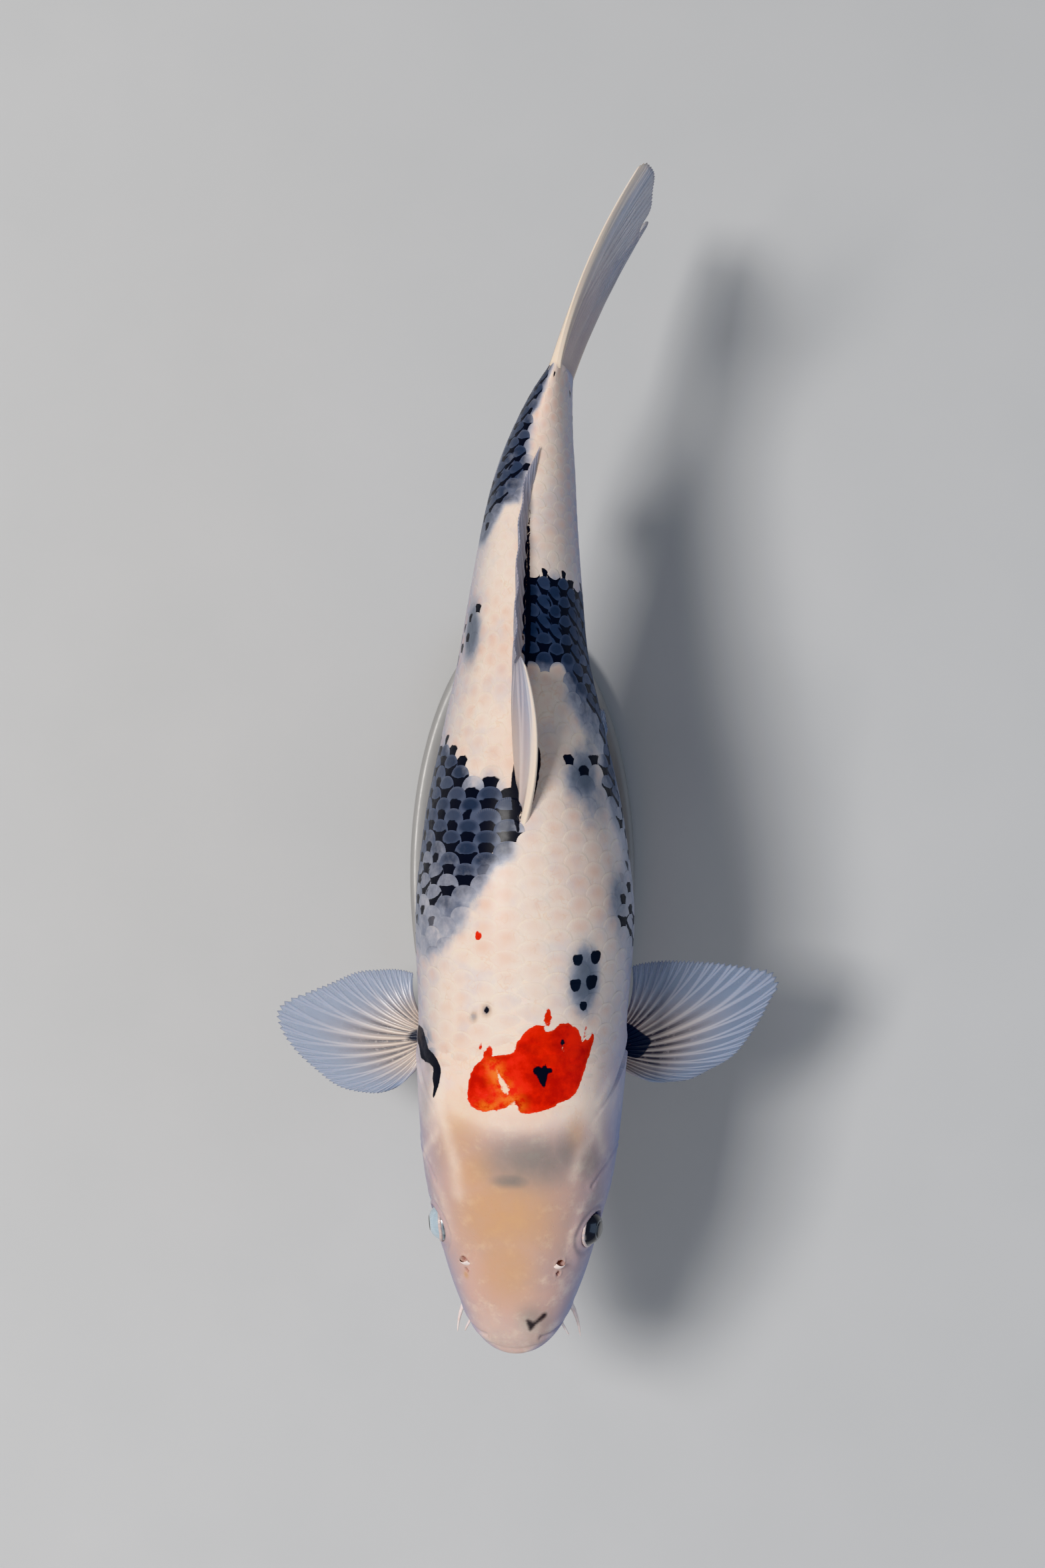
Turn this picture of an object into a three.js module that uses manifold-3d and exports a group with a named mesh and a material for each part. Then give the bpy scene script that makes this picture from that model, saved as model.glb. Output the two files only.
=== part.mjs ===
// A koi carp, life size, held by a plain display stand as if it hung in the water. Millimetres, +Z up.
// The fish looks along -Y and its left side is +X. The origin is the centre of the stand's underside.
// The body is a loft along a bent spine. Places on it are given as (s, t): s is the distance from the
// snout along the spine, t the angle round the body from the ridge of the back, 90 degrees on the
// fish's left flank and 180 on the keel of the belly.
import * as THREE from "three";
import Module from "manifold-3d";

const wasm = await Module();
wasm.setup();
const { Manifold, Mesh: SolidMesh } = wasm;

// ---- driving dimensions ----
const BODY_LENGTH = 478; // snout to the root of the tail fin
const SNOUT_Y = -228; // puts the fish's weight over the stand
const SNOUT_X = -4.5;
const AXIS_HEIGHT = 150; // height of the spine over the floor
const GAP = 0.3; // clearance between neighbouring pieces
const FIN_EDGE = 0.9; // thickness of every fin at its edge

const HEAD_END = 153; // where the head meets the trunk, on s
const TRUNK_CUTS = [246, 340, 420]; // the other cuts through the body, on s
const ROUND = 26; // facets round the body
const RINGS = 31; // rings along the body

const EYE = { s: 64.5, side: 32.8, up: 9.5, radius: 9.5 };
const NOSTRIL = { s: 44.5, side: 21.5, radius: 1.7, apart: 4.2 };

const SKIN_COLOUR = 0xe6d3c0;
const FIN_COLOUR = 0xd9cfc8;

const DEGREE = Math.PI / 180;
const mix = (from, to, share) => from + (to - from) * share;

// A smooth curve through [place, value] points that doesn't overshoot them.
function smoothThrough(points) {
  const rise = points.slice(1).map(([x, y], i) => (y - points[i][1]) / (x - points[i][0]));
  const slope = points.map((_, i) => {
    if (i === 0) return rise[0];
    if (i === points.length - 1) return rise[i - 1];
    const [before, after] = [rise[i - 1], rise[i]];
    return before * after > 0 ? (2 * before * after) / (before + after) : 0;
  });
  return (at) => {
    const last = points.length - 2;
    let i = points.findIndex(([x]) => at < x) - 1;
    if (i === -2) i = last;
    i = Math.max(0, i);
    const [x0, y0] = points[i];
    const [x1, y1] = points[i + 1];
    const width = x1 - x0;
    const h = Math.min(Math.max((at - x0) / width, 0), 1);
    const bend = h * h * (3 - 2 * h);
    const start = h * (1 - h) * (1 - h) * width * slope[i];
    const end = h * h * (h - 1) * width * slope[i + 1];
    return mix(y0, y1, bend) + start + end;
  };
}

// ---- the body's form ----
// half: half width. top, bottom: the back's and the belly's height over the spine. mid: the widest level.
// crown, keel: squareness of the upper and the lower half, 2 being an ellipse.
// roll: how far the back leans towards the fish's right, in degrees.
const STATIONS = [
  { s: 0, half: 0, top: -9, mid: -9, bottom: -9, crown: 2.0, keel: 2.0, roll: 5 },
  { s: 4, half: 12.6, top: -1.5, mid: -10, bottom: -19, crown: 2.1, keel: 2.0, roll: 5 },
  { s: 10, half: 19.2, top: 4.5, mid: -10, bottom: -24.5, crown: 2.1, keel: 2.1, roll: 5 },
  { s: 24, half: 27, top: 13.5, mid: -9.5, bottom: -31, crown: 2.1, keel: 2.2, roll: 5 },
  { s: 49, half: 35.8, top: 27.5, mid: -8, bottom: -39, crown: 2.2, keel: 2.3, roll: 5 },
  { s: 64, half: 39.4, top: 34.5, mid: -7, bottom: -43, crown: 2.3, keel: 2.3, roll: 5 },
  { s: 88, half: 45.6, top: 44, mid: -6, bottom: -49, crown: 2.35, keel: 2.3, roll: 4.5 },
  { s: 128, half: 49.6, top: 57, mid: -5, bottom: -56.5, crown: 2.3, keel: 2.3, roll: 3.5 },
  { s: 170, half: 51.5, top: 66, mid: -4, bottom: -62, crown: 2.2, keel: 2.3, roll: 2 },
  { s: 212, half: 53.6, top: 70.5, mid: -4, bottom: -65, crown: 2.15, keel: 2.3, roll: 1.5 },
  { s: 256, half: 49.2, top: 69.5, mid: -3, bottom: -64, crown: 2.1, keel: 2.2, roll: 1.5 },
  { s: 307, half: 38.7, top: 60.5, mid: -1, bottom: -58, crown: 2.05, keel: 2.1, roll: 0.5 },
  { s: 340, half: 31.6, top: 52, mid: 0, bottom: -49.5, crown: 2, keel: 2, roll: 0 },
  { s: 372, half: 27.4, top: 43.5, mid: 0, bottom: -40, crown: 2, keel: 2, roll: 0.5 },
  { s: 424, half: 20.2, top: 32, mid: 0, bottom: -29, crown: 2, keel: 2, roll: 3 },
  { s: 450, half: 14.2, top: 28.6, mid: 0, bottom: -26.3, crown: 2, keel: 2, roll: 5 },
  { s: 466, half: 9.6, top: 29, mid: 0, bottom: -27, crown: 2, keel: 2, roll: 6.5 },
  { s: BODY_LENGTH, half: 5, top: 30, mid: 0, bottom: -28.5, crown: 2, keel: 2, roll: 7.5 },
];

// Stations are blended over the root of s, which makes the snout round.
const rootOf = (s) => Math.sqrt(Math.max(s, 0) / BODY_LENGTH);
const column = (name) => smoothThrough(STATIONS.map((row) => [rootOf(row.s), row[name]]));
const FORM = Object.fromEntries(Object.keys(STATIONS[0]).map((name) => [name, column(name)]));

// The spine's heading in degrees, towards the fish's left as it runs tailwards: straight, then the swing
// of the tail.
const heading = smoothThrough([
  [0, 1.6], [180, 1.6], [230, -0.4], [320, -0.2], [350, 2.4], [390, 3.5], [420, 7.5], [450, 13], [475, 21],
  [500, 23], [600, 25],
]);
const SPINE_STEP = 2;
const SPINE = [new THREE.Vector2(SNOUT_X, SNOUT_Y)];
for (let s = 0; s < 620; s += SPINE_STEP) {
  const turn = heading(s + SPINE_STEP / 2) * DEGREE;
  const step = new THREE.Vector2(Math.sin(turn), Math.cos(turn)).multiplyScalar(SPINE_STEP);
  SPINE.push(SPINE[SPINE.length - 1].clone().add(step));
}

// The point at distance s along the spine, side to the fish's left and up over the axis.
function place(s, side, up) {
  const whole = Math.min(Math.max(Math.floor(s / SPINE_STEP), 0), SPINE.length - 2);
  const on = SPINE[whole].clone().lerp(SPINE[whole + 1], s / SPINE_STEP - whole);
  const turn = heading(s) * DEGREE;
  return new THREE.Vector3(on.x + side * Math.cos(turn), on.y - side * Math.sin(turn), AXIS_HEIGHT + up);
}

// place(), with side and up turned by the body's roll there.
function placeRolled(s, side, up) {
  const roll = FORM.roll(rootOf(s)) * DEGREE;
  const [sin, cos] = [Math.sin(roll), Math.cos(roll)];
  return place(s, side * cos - up * sin, up * cos + side * sin);
}

// The point on the body at (s, t), t in radians, moved in by inset.
function bodyPoint(s, t, inset = 0) {
  const at = rootOf(s);
  const mid = FORM.mid(at);
  const upper = Math.cos(t) > 0;
  const reach = Math.max((upper ? FORM.top(at) - mid : mid - FORM.bottom(at)) - inset, 0);
  const half = Math.max(FORM.half(at) - inset, 0);
  const power = 2 / (upper ? FORM.crown(at) : FORM.keel(at));
  const side = Math.sign(Math.sin(t)) * Math.abs(Math.sin(t)) ** power * half;
  return placeRolled(s, side, mid + Math.sign(Math.cos(t)) * Math.abs(Math.cos(t)) ** power * reach);
}

// ---- closed solids from rings of points ----
function loft(rings) {
  const count = rings[0].length;
  const middle = (ring) => ring.reduce((sum, p) => sum.add(p), new THREE.Vector3()).divideScalar(count);
  const points = [...rings.flat(), middle(rings[0]), middle(rings[rings.length - 1])];
  const index = [];
  const at = (ring, i) => ring * count + (i % count);
  for (let ring = 0; ring + 1 < rings.length; ring++)
    for (let i = 0; i < count; i++) {
      index.push(at(ring, i), at(ring, i + 1), at(ring + 1, i + 1));
      index.push(at(ring, i), at(ring + 1, i + 1), at(ring + 1, i));
    }
  const [first, last] = [points.length - 2, points.length - 1];
  for (let i = 0; i < count; i++) {
    index.push(first, at(0, i + 1), at(0, i));
    index.push(last, at(rings.length - 1, i), at(rings.length - 1, i + 1));
  }
  return new THREE.BufferGeometry().setFromPoints(points).setIndex(index);
}

// The solid of a closed geometry, whichever way its rings were wound.
function solid(geometry) {
  const vertProperties = geometry.getAttribute("position").array;
  const triVerts = new Uint32Array(geometry.index.array);
  const made = new Manifold(new SolidMesh({ numProp: 3, vertProperties, triVerts }));
  if (made.volume() > 0) return made;
  for (let i = 0; i < triVerts.length; i += 3)
    [triVerts[i + 1], triVerts[i + 2]] = [triVerts[i + 2], triVerts[i + 1]];
  return new Manifold(new SolidMesh({ numProp: 3, vertProperties, triVerts }));
}

// A three.js primitive as a solid: its seams are joined by place first.
function solidOf(primitive) {
  const { array } = primitive.getAttribute("position");
  const known = new Map();
  const points = [];
  const same = [];
  for (let i = 0; i < array.length; i += 3) {
    const point = [...array.slice(i, i + 3)];
    const key = point.map((v) => Math.round(v * 1e4)).join();
    if (!known.has(key)) known.set(key, points.push(new THREE.Vector3(...point)) - 1);
    same.push(known.get(key));
  }
  const index = [];
  for (let i = 0; i < primitive.index.count; i += 3) {
    const face = [0, 1, 2].map((corner) => same[primitive.index.getX(i + corner)]);
    if (new Set(face).size === 3) index.push(...face);
  }
  return solid(new THREE.BufferGeometry().setFromPoints(points).setIndex(index));
}

function geometryOf(made) {
  const { numProp, vertProperties, triVerts } = made.getMesh();
  const points = [];
  for (let i = 0; i < vertProperties.length; i += numProp)
    points.push(new THREE.Vector3(...vertProperties.slice(i, i + 3)));
  const geometry = new THREE.BufferGeometry().setFromPoints(points).setIndex([...triVerts]);
  geometry.computeVertexNormals();
  return geometry;
}

const koi = new THREE.Group();
koi.name = "koi";

function add(name, made, look) {
  const mesh = new THREE.Mesh(geometryOf(made), new THREE.MeshStandardMaterial(look));
  mesh.name = name;
  koi.add(mesh);
}
const SKIN = { color: SKIN_COLOUR, roughness: 0.3, metalness: 0 };
const FIN = { color: FIN_COLOUR, roughness: 0.35, metalness: 0 };

// ---- the body, from s to s ----
function bodyBetween(from, to, inset = 0) {
  const [start, end] = [rootOf(from), rootOf(to)];
  const count = Math.max(3, Math.round((end - start) * RINGS));
  const rings = [];
  for (let i = 0; i <= count; i++) {
    const s = BODY_LENGTH * mix(Math.max(start, 0.008), end, i / count) ** 2;
    const ring = [];
    for (let k = 0; k < ROUND; k++) ring.push(bodyPoint(s, (k / ROUND) * 2 * Math.PI, inset));
    rings.push(ring);
  }
  return solid(loft(rings));
}

// ---- thin plates: a fin's rays run from root(v) to tip(v), bowed by bow(v) at half their length ----
function fin({ root, tip, bow, rootThick, tipThick = FIN_EDGE, across = 10, along = 6 }) {
  const point = (u, v) => {
    const from = root(v);
    const rod = tip(v).sub(from).multiplyScalar(u);
    return from.add(rod).add(bow(v).multiplyScalar(4 * u * (1 - u)));
  };
  const d = 0.01;
  const face = (u, v) => {
    const alongRay = point(u + d, v).sub(point(u - d, v));
    const acrossRays = point(u, v + d).sub(point(u, v - d));
    return alongRay.cross(acrossRays).normalize();
  };
  const rings = [];
  for (let j = 0; j <= across; j++) {
    const v = j / across;
    const front = [];
    const back = [];
    for (let i = 0; i <= along; i++) {
      const u = i / along;
      const half = mix(rootThick, tipThick, Math.sqrt(u)) / 2;
      const out = face(u, v).multiplyScalar(half);
      front.push(point(u, v).add(out));
      back.unshift(point(u, v).sub(out));
    }
    rings.push([...front, ...back]);
  }
  return solid(loft(rings));
}

// A round rod that tapers along a curve.
function taperedRod(curve, rootRadius, tipRadius, steps, sides) {
  const frames = curve.computeFrenetFrames(steps);
  const rings = [];
  for (let i = 0; i <= steps; i++) {
    const radius = mix(rootRadius, tipRadius, i / steps);
    const ring = [];
    for (let k = 0; k < sides; k++) {
      const turn = (k / sides) * 2 * Math.PI;
      const out = frames.normals[i].clone().multiplyScalar(Math.cos(turn) * radius);
      out.addScaledVector(frames.binormals[i], Math.sin(turn) * radius);
      ring.push(curve.getPointAt(i / steps).add(out));
    }
    rings.push(ring);
  }
  return solid(loft(rings));
}

// ---- pieces set into the head, each with the room that it needs ----
function ball(centre, radius, facets = 12) {
  const sphere = new THREE.SphereGeometry(radius, facets, Math.round(facets * 0.7));
  return solidOf(sphere.translate(centre.x, centre.y, centre.z));
}
const SIDES = [["left", 1], ["right", -1]];

// The gill cover's outline: its front and rear edge on s, over t in degrees from the ridge.
const COVER = { from: 50, to: 150, proud: 0.9, depth: 3 };
const coverRear = smoothThrough([[50, 120], [68, 135], [92, 148.5], [120, 143], [138, 127], [150, 108]]);
const coverFront = smoothThrough([[50, 114], [64, 103], [95, 95], [125, 94], [150, 98]]);

function gillCover(sign, grow) {
  const rings = [];
  const [rows, steps] = [9, 4];
  for (let j = 0; j <= rows; j++) {
    const t = mix(COVER.from - grow, COVER.to + grow, j / rows);
    const [front, rear] = [coverFront(t) - grow, coverRear(t) + grow];
    const outer = [];
    const inner = [];
    for (let i = 0; i <= steps; i++) {
      const s = mix(front, rear, i / steps);
      outer.push(bodyPoint(s, sign * t * DEGREE, -COVER.proud * (i / steps) - grow * 3));
      inner.unshift(bodyPoint(s, sign * t * DEGREE, COVER.depth + grow));
    }
    rings.push([...outer, ...inner]);
  }
  return solid(loft(rings));
}

// The lips: two half rings round the front of the mouth. open is how far each stands from the mouth's line.
const MOUTH = { back: 17, side: 18.8, corner: -18, front: -10.5, face: 3.5 };
function lip(open, radius, reach) {
  const route = [];
  for (let i = -4; i <= 4; i++) {
    const turn = (i / 4) * 88 * DEGREE;
    const share = 1 - Math.cos(turn);
    const up = mix(MOUTH.front, MOUTH.corner, share) + open;
    const s = mix(reach, MOUTH.back, share ** 0.9);
    route.push(placeRolled(Math.max(s, 0), MOUTH.side * Math.sin(turn), up).setY(place(0, 0, 0).y + s));
  }
  const curve = new THREE.CatmullRomCurve3(route);
  return taperedRod(curve, radius, radius, 12, 7);
}
const lips = [["upper_lip", 3.7, 3.1, 3.2], ["lower_lip", -3.8, 2.9, 4.4]];

function barbel(sign, points, rootRadius) {
  const curve = new THREE.CatmullRomCurve3(points.map(([s, side, up]) => placeRolled(s, sign * side, up)));
  return taperedRod(curve, rootRadius, 0.35, 8, 6);
}
const BARBELS = [
  ["corner", [[29, 21, -19], [22, 26, -21], [14, 29, -25], [5, 30.5, -30]], 1.5],
  ["upper", [[19, 20, -11], [14, 22.5, -12.5], [10, 24.5, -15], [7.5, 25.5, -18]], 0.9],
];

let bodyRoom = bodyBetween(0, BODY_LENGTH, -GAP);
for (const [, sign] of SIDES) bodyRoom = bodyRoom.add(gillCover(sign, GAP));

let head = bodyBetween(MOUTH.face, HEAD_END - GAP);
for (const [, open, radius, reach] of lips) head = head.subtract(lip(open, radius + GAP, reach));
for (const [name, open, radius, reach] of lips) add(name, lip(open, radius, reach), SKIN);
for (const [side, sign] of SIDES) {
  const eye = placeRolled(EYE.s, sign * EYE.side, EYE.up);
  head = head.subtract(ball(eye, EYE.radius + GAP)).subtract(gillCover(sign, GAP));
  for (const along of [-0.5, 0.5]) {
    const at = NOSTRIL.s + along * NOSTRIL.apart;
    head = head.subtract(ball(bodyPoint(at, sign * Math.asin(NOSTRIL.side / 33), 0.4), NOSTRIL.radius, 8));
  }
  add(`eye_${side}`, ball(eye, EYE.radius), { color: 0x1c1613, roughness: 0.08, metalness: 0 });
  add(`gill_cover_${side}`, gillCover(sign, 0), { ...SKIN, color: 0xcfc6c4 });
  for (const [name, points, radius] of BARBELS)
    add(`barbel_${name}_${side}`, barbel(sign, points, radius).subtract(bodyRoom), SKIN);
}
add("head", head, { ...SKIN, color: 0xe0bda0 });

// ---- the trunk and the stem of the tail ----
const TRUNK_NAMES = ["trunk_front", "trunk_middle", "trunk_rear", "tail_stem"];
TRUNK_NAMES.forEach((name, i) => {
  const from = [HEAD_END, ...TRUNK_CUTS][i];
  const to = i < TRUNK_CUTS.length ? TRUNK_CUTS[i] - GAP : BODY_LENGTH;
  add(name, bodyBetween(from, to), SKIN);
});

// ---- the dorsal fin, half folded: its first rays lean left and the rest lie over to the right ----
const DORSAL = { from: 250, to: 412, sunk: 5 };
const dorsalLength = smoothThrough([[0, 80], [0.05, 76], [0.12, 60], [0.3, 43], [0.6, 33], [1, 20]]);
const dorsalRise = smoothThrough([[0, 22], [0.1, 25], [0.3, 28], [0.7, 24], [1, 14]]);
const dorsalLean = smoothThrough([[0, 1], [0.06, -1.5], [0.15, -4], [0.6, -4], [0.85, -3], [1, 2]]);
const dorsalBow = smoothThrough([[0, 6], [0.05, 4], [0.15, 0], [1, 0]]);
const ridge = (s) => FORM.top(rootOf(s));
const dorsal = {
  root: (v) => {
    const s = mix(DORSAL.from, DORSAL.to, v);
    return placeRolled(s, 0, ridge(s) - DORSAL.sunk);
  },
  tip: (v) => {
    const s = mix(DORSAL.from, DORSAL.to, v);
    const slope = Math.atan(ridge(s + 1) - ridge(s));
    const lift = dorsalRise(v) * DEGREE + slope;
    const far = dorsalLength(v) + DORSAL.sunk;
    const up = ridge(s) - DORSAL.sunk + far * Math.sin(lift);
    return placeRolled(s + far * Math.cos(lift), dorsalLean(v), up);
  },
  bow: (v) => new THREE.Vector3(dorsalBow(v), 0, mix(3, 1, v)),
};
add("dorsal_fin", fin({ ...dorsal, rootThick: 3.4, across: 16 }).subtract(bodyRoom), FIN);

// ---- the paired fins ----
// A fan of rays round a hinge on the body. Seen from above a ray ends reach(angle) from the hinge, at the
// angle from straight out towards the tail. slope and fall are how steeply the fan drops outwards and
// tailwards.
function pairedFin({ sign, hinge, rootLength, from, to, reach, slope, fall = 0, curl, rootThick, across }) {
  const [s, side, up] = hinge;
  const middle = placeRolled(s, sign * side, up);
  const ray = (v) => {
    const turn = mix(from, to, v);
    const far = reach(turn);
    const out = Math.cos(turn * DEGREE) * far;
    const back = Math.sin(turn * DEGREE) * far;
    return new THREE.Vector3(out * sign, back, -out * slope - back * fall);
  };
  return fin({
    root: (v) => middle.clone().add(new THREE.Vector3(-4 * sign, rootLength * (v - 0.5), 3 * (0.5 - v))),
    tip: (v) => middle.clone().add(ray(v)),
    bow: (v) => {
      const along = ray(v);
      const forward = new THREE.Vector3(along.y * sign, -along.x * sign, 0).multiplyScalar(0.07);
      return forward.setZ(curl * (1 - 0.5 * v));
    },
    rootThick,
    across,
    along: 7,
  });
}

const PECTORALS = [
  {
    side: "left", sign: 1, hinge: [147, 50, -36], from: -46, to: 86, slope: 0.14,
    reach: [
      [-46, 23], [-30, 32], [-21, 39], [-11, 47], [-4, 54], [8, 65.5], [18, 76], [23, 83], [26, 83],
      [32, 75], [41, 64], [55, 53], [65, 48], [86, 41],
    ],
  },
  {
    side: "right", sign: -1, hinge: [149, 54.5, -38], from: -68, to: 88, slope: 0.42,
    reach: [
      [-68, 27], [-52, 36.5], [-34, 46.5], [-18, 55.5], [-6, 63.5], [4, 71], [8, 72.5], [11, 71.5], [21, 59],
      [30, 51.5], [46, 44], [62, 38], [88, 32],
    ],
  },
];
for (const { side, reach, ...shape } of PECTORALS) {
  const made = pairedFin({
    ...shape, reach: smoothThrough(reach), rootLength: 17, curl: 4, rootThick: 4.5, across: 16,
  });
  add(`pectoral_fin_${side}`, made.subtract(bodyRoom), FIN);
}

const pelvicReach = smoothThrough([[62, 48], [70, 56], [80, 54], [92, 38]]);
for (const [side, sign] of SIDES) {
  const shape = { sign, hinge: [262, 19, -53], rootLength: 12, from: 62, to: 92, slope: 1, fall: 0.34 };
  const made = pairedFin({ ...shape, reach: pelvicReach, curl: -4, rootThick: 2.4, across: 7 });
  add(`pelvic_fin_${side}`, made.subtract(bodyRoom), FIN);
}

// ---- the anal fin ----
const ANAL = { from: 379, to: 410, sunk: 4 };
const analLength = smoothThrough([[0, 50], [0.15, 52], [0.6, 38], [1, 25]]);
const keel = (s) => FORM.bottom(rootOf(s));
const anal = {
  root: (v) => {
    const s = mix(ANAL.from, ANAL.to, v);
    return placeRolled(s, 0, keel(s) + ANAL.sunk);
  },
  tip: (v) => {
    const s = mix(ANAL.from, ANAL.to, v);
    const drop = mix(50, 28, v) * DEGREE;
    const far = analLength(v) + ANAL.sunk;
    return placeRolled(s + far * Math.cos(drop), 1.5, keel(s) + ANAL.sunk - far * Math.sin(drop));
  },
  bow: () => new THREE.Vector3(1, 0, -1.5),
};
add("anal_fin", fin({ ...anal, rootThick: 3, across: 8, along: 5 }).subtract(bodyRoom), FIN);

// ---- the tail fin: two lobes that part at the middle ray ----
// v runs from the middle ray to the lobe's leading edge. along, side and up are from the middle of the
// fin's root, along being tailwards in the fin's own heading.
const TAIL = { root: 28, rootLean: -0.12, tipLean: -0.05, heading: 23.5, sunk: 3 };
const LOBES = [
  { name: "tail_fin_upper", sign: 1, along: 95, up: 72, bow: -5 },
  { name: "tail_fin_lower", sign: -1, along: 92, up: 66, bow: -2 },
];
const tailAlong = smoothThrough([[0, 0.59], [0.3, 0.68], [0.6, 0.86], [0.85, 0.99], [0.94, 1.01], [1, 0.97]]);
const tailUp = smoothThrough([[0, 0.006], [0.5, 0.4], [0.85, 0.83], [1, 1]]);
const tailSide = smoothThrough([[0, 2.5], [0.6, 5.5], [0.9, 4], [1, 0.8]]);
function tailLobe({ sign, along, up, bow }) {
  const turn = TAIL.heading * DEGREE;
  const at = (back, side, level, lean) => {
    const rolled = side + level * lean;
    const out = back * Math.sin(turn) + rolled * Math.cos(turn);
    const aft = back * Math.cos(turn) - rolled * Math.sin(turn);
    return place(BODY_LENGTH, 0, level).add(new THREE.Vector3(out, aft, 0));
  };
  const seam = GAP / 2 / TAIL.root;
  return fin({
    root: (v) => at(-TAIL.sunk, 0, sign * mix(seam, 1, v) * TAIL.root, TAIL.rootLean),
    tip: (v) => at(along * tailAlong(v), tailSide(v), sign * up * tailUp(v), TAIL.tipLean),
    bow: (v) => new THREE.Vector3(mix(-2.5, bow, v), 0, sign * 4 * v),
    rootThick: 6,
    along: 9,
  });
}
for (const lobe of LOBES) add(lobe.name, tailLobe(lobe).subtract(bodyRoom), FIN);

// ---- the stand: an oval base and two rods up to the belly ----
const BASE = { width: 118, length: 270, thick: 14, bevel: 2 };
const POSTS = [["front", -72], ["rear", 58]];
const POST_RADIUS = 5;
const oval = new THREE.Shape().absellipse(
  0, 0, BASE.width / 2 - BASE.bevel, BASE.length / 2 - BASE.bevel, 0, 2 * Math.PI,
);
const slab = new THREE.ExtrudeGeometry(oval, {
  depth: BASE.thick - BASE.bevel,
  bevelThickness: BASE.bevel,
  bevelSize: BASE.bevel,
  bevelSegments: 2,
  curveSegments: 20,
});
slab.deleteAttribute("uv");
slab.deleteAttribute("normal");
slab.setIndex([...Array(slab.getAttribute("position").count).keys()]);
const foot = solidOf(new THREE.BoxGeometry(400, 400, 40).translate(0, 0, -20));
add("stand_base", solidOf(slab).subtract(foot), { color: 0xd8d8d4, roughness: 0.5, metalness: 0 });

for (const [name, y] of POSTS) {
  const height = AXIS_HEIGHT - BASE.thick - GAP;
  const rod = new THREE.CylinderGeometry(POST_RADIUS, POST_RADIUS, height, 18);
  rod.rotateX(Math.PI / 2).translate(0, y, BASE.thick + GAP + height / 2);
  add(`stand_post_${name}`, solidOf(rod).subtract(bodyRoom), { color: 0xb4b7ba, roughness: 0.3, metalness: 1 });
}

const { x, y } = new THREE.Box3().setFromObject(koi).getCenter(new THREE.Vector3());
koi.position.set(-x, -y, 0);

export default koi;
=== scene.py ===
"""Still life-size model of a koi carp with ivory skin, a red crown mark and black scale patches.

Body coordinates: s runs along the spine from the snout and t goes round the body from the ridge,
90 degrees being the +X side. Lengths are in millimetres until a mesh is made."""

import math

import bpy
import numpy as np
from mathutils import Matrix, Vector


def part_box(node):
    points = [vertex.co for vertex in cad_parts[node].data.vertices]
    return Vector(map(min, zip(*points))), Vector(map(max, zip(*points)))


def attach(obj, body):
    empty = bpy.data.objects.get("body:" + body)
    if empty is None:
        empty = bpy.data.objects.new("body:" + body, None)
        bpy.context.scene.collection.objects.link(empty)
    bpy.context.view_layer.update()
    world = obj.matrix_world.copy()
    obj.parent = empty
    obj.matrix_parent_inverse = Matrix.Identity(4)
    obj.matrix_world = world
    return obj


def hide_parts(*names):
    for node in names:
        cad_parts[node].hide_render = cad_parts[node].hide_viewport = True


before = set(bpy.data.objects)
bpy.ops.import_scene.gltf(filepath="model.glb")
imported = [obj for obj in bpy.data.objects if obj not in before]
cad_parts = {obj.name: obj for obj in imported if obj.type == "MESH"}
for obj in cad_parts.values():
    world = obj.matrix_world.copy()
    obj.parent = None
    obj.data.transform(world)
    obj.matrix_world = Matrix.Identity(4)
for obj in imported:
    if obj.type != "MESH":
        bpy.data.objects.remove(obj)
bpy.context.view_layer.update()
rng = np.random.default_rng(11)

DEG = math.pi / 180
BODY_LENGTH = 478.0
SNOUT = np.array([-4.5, -228.0])
AXIS_HEIGHT = 150.0
ROWS, TAIL_ROWS, TAIL_FROM = 32, 22, 384.0
EYE = {"s": 64.5, "side": 32.8, "up": 9.5, "radius": 9.5}
NOSTRIL_S, NOSTRIL_T, NOSTRIL_APART = 45.5, 38.5, 4.6
CAMERA_AT = (0.0, 48.0, 1750.0)
CAMERA_LENS = 75.93
base_low, base_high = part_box("stand_base")
ORIGIN = np.array([(base_low[0] + base_high[0]) / 2, (base_low[1] + base_high[1]) / 2, base_low[2]])
LEFT_SIGN = 1 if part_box("pectoral_fin_left")[0][0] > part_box("pectoral_fin_right")[0][0] else -1
SIDES = {"left": LEFT_SIGN, "right": -LEFT_SIGN}
SCALE_BED = 0.72  # how far the skin lies below the body's form where scales cover it


# ---------------------------------------------------------------- curves and fields


def through(*points):
    """A smooth curve through points, with no overshoot between them."""
    x = np.array([p[0] for p in points], float)
    y = np.array([p[1] for p in points], float)
    rise = np.diff(y) / np.diff(x)
    slope = np.concatenate([rise[:1], np.zeros(len(x) - 2), rise[-1:]])
    for i in range(1, len(x) - 1):
        a, b = rise[i - 1], rise[i]
        slope[i] = 2 * a * b / (a + b) if a * b > 0 else 0

    def curve(at):
        at = np.asarray(at, float)
        i = np.clip(np.searchsorted(x, at, side="right") - 1, 0, len(x) - 2)
        w = x[i + 1] - x[i]
        h = np.clip((at - x[i]) / w, 0, 1)
        return (
            y[i]
            + (y[i + 1] - y[i]) * h * h * (3 - 2 * h)
            + h * (1 - h) ** 2 * w * slope[i]
            + h * h * (h - 1) * w * slope[i + 1]
        )

    return curve


def mix(a, b, share):
    return a + (b - a) * share


def ease(value, low, high):
    """0 below low, 1 above high, smooth between."""
    h = np.clip((np.asarray(value, float) - low) / (high - low), 0, 1)
    return h * h * (3 - 2 * h)


def bell(distance, width):
    return np.exp(-((np.asarray(distance) / width) ** 2))


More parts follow.
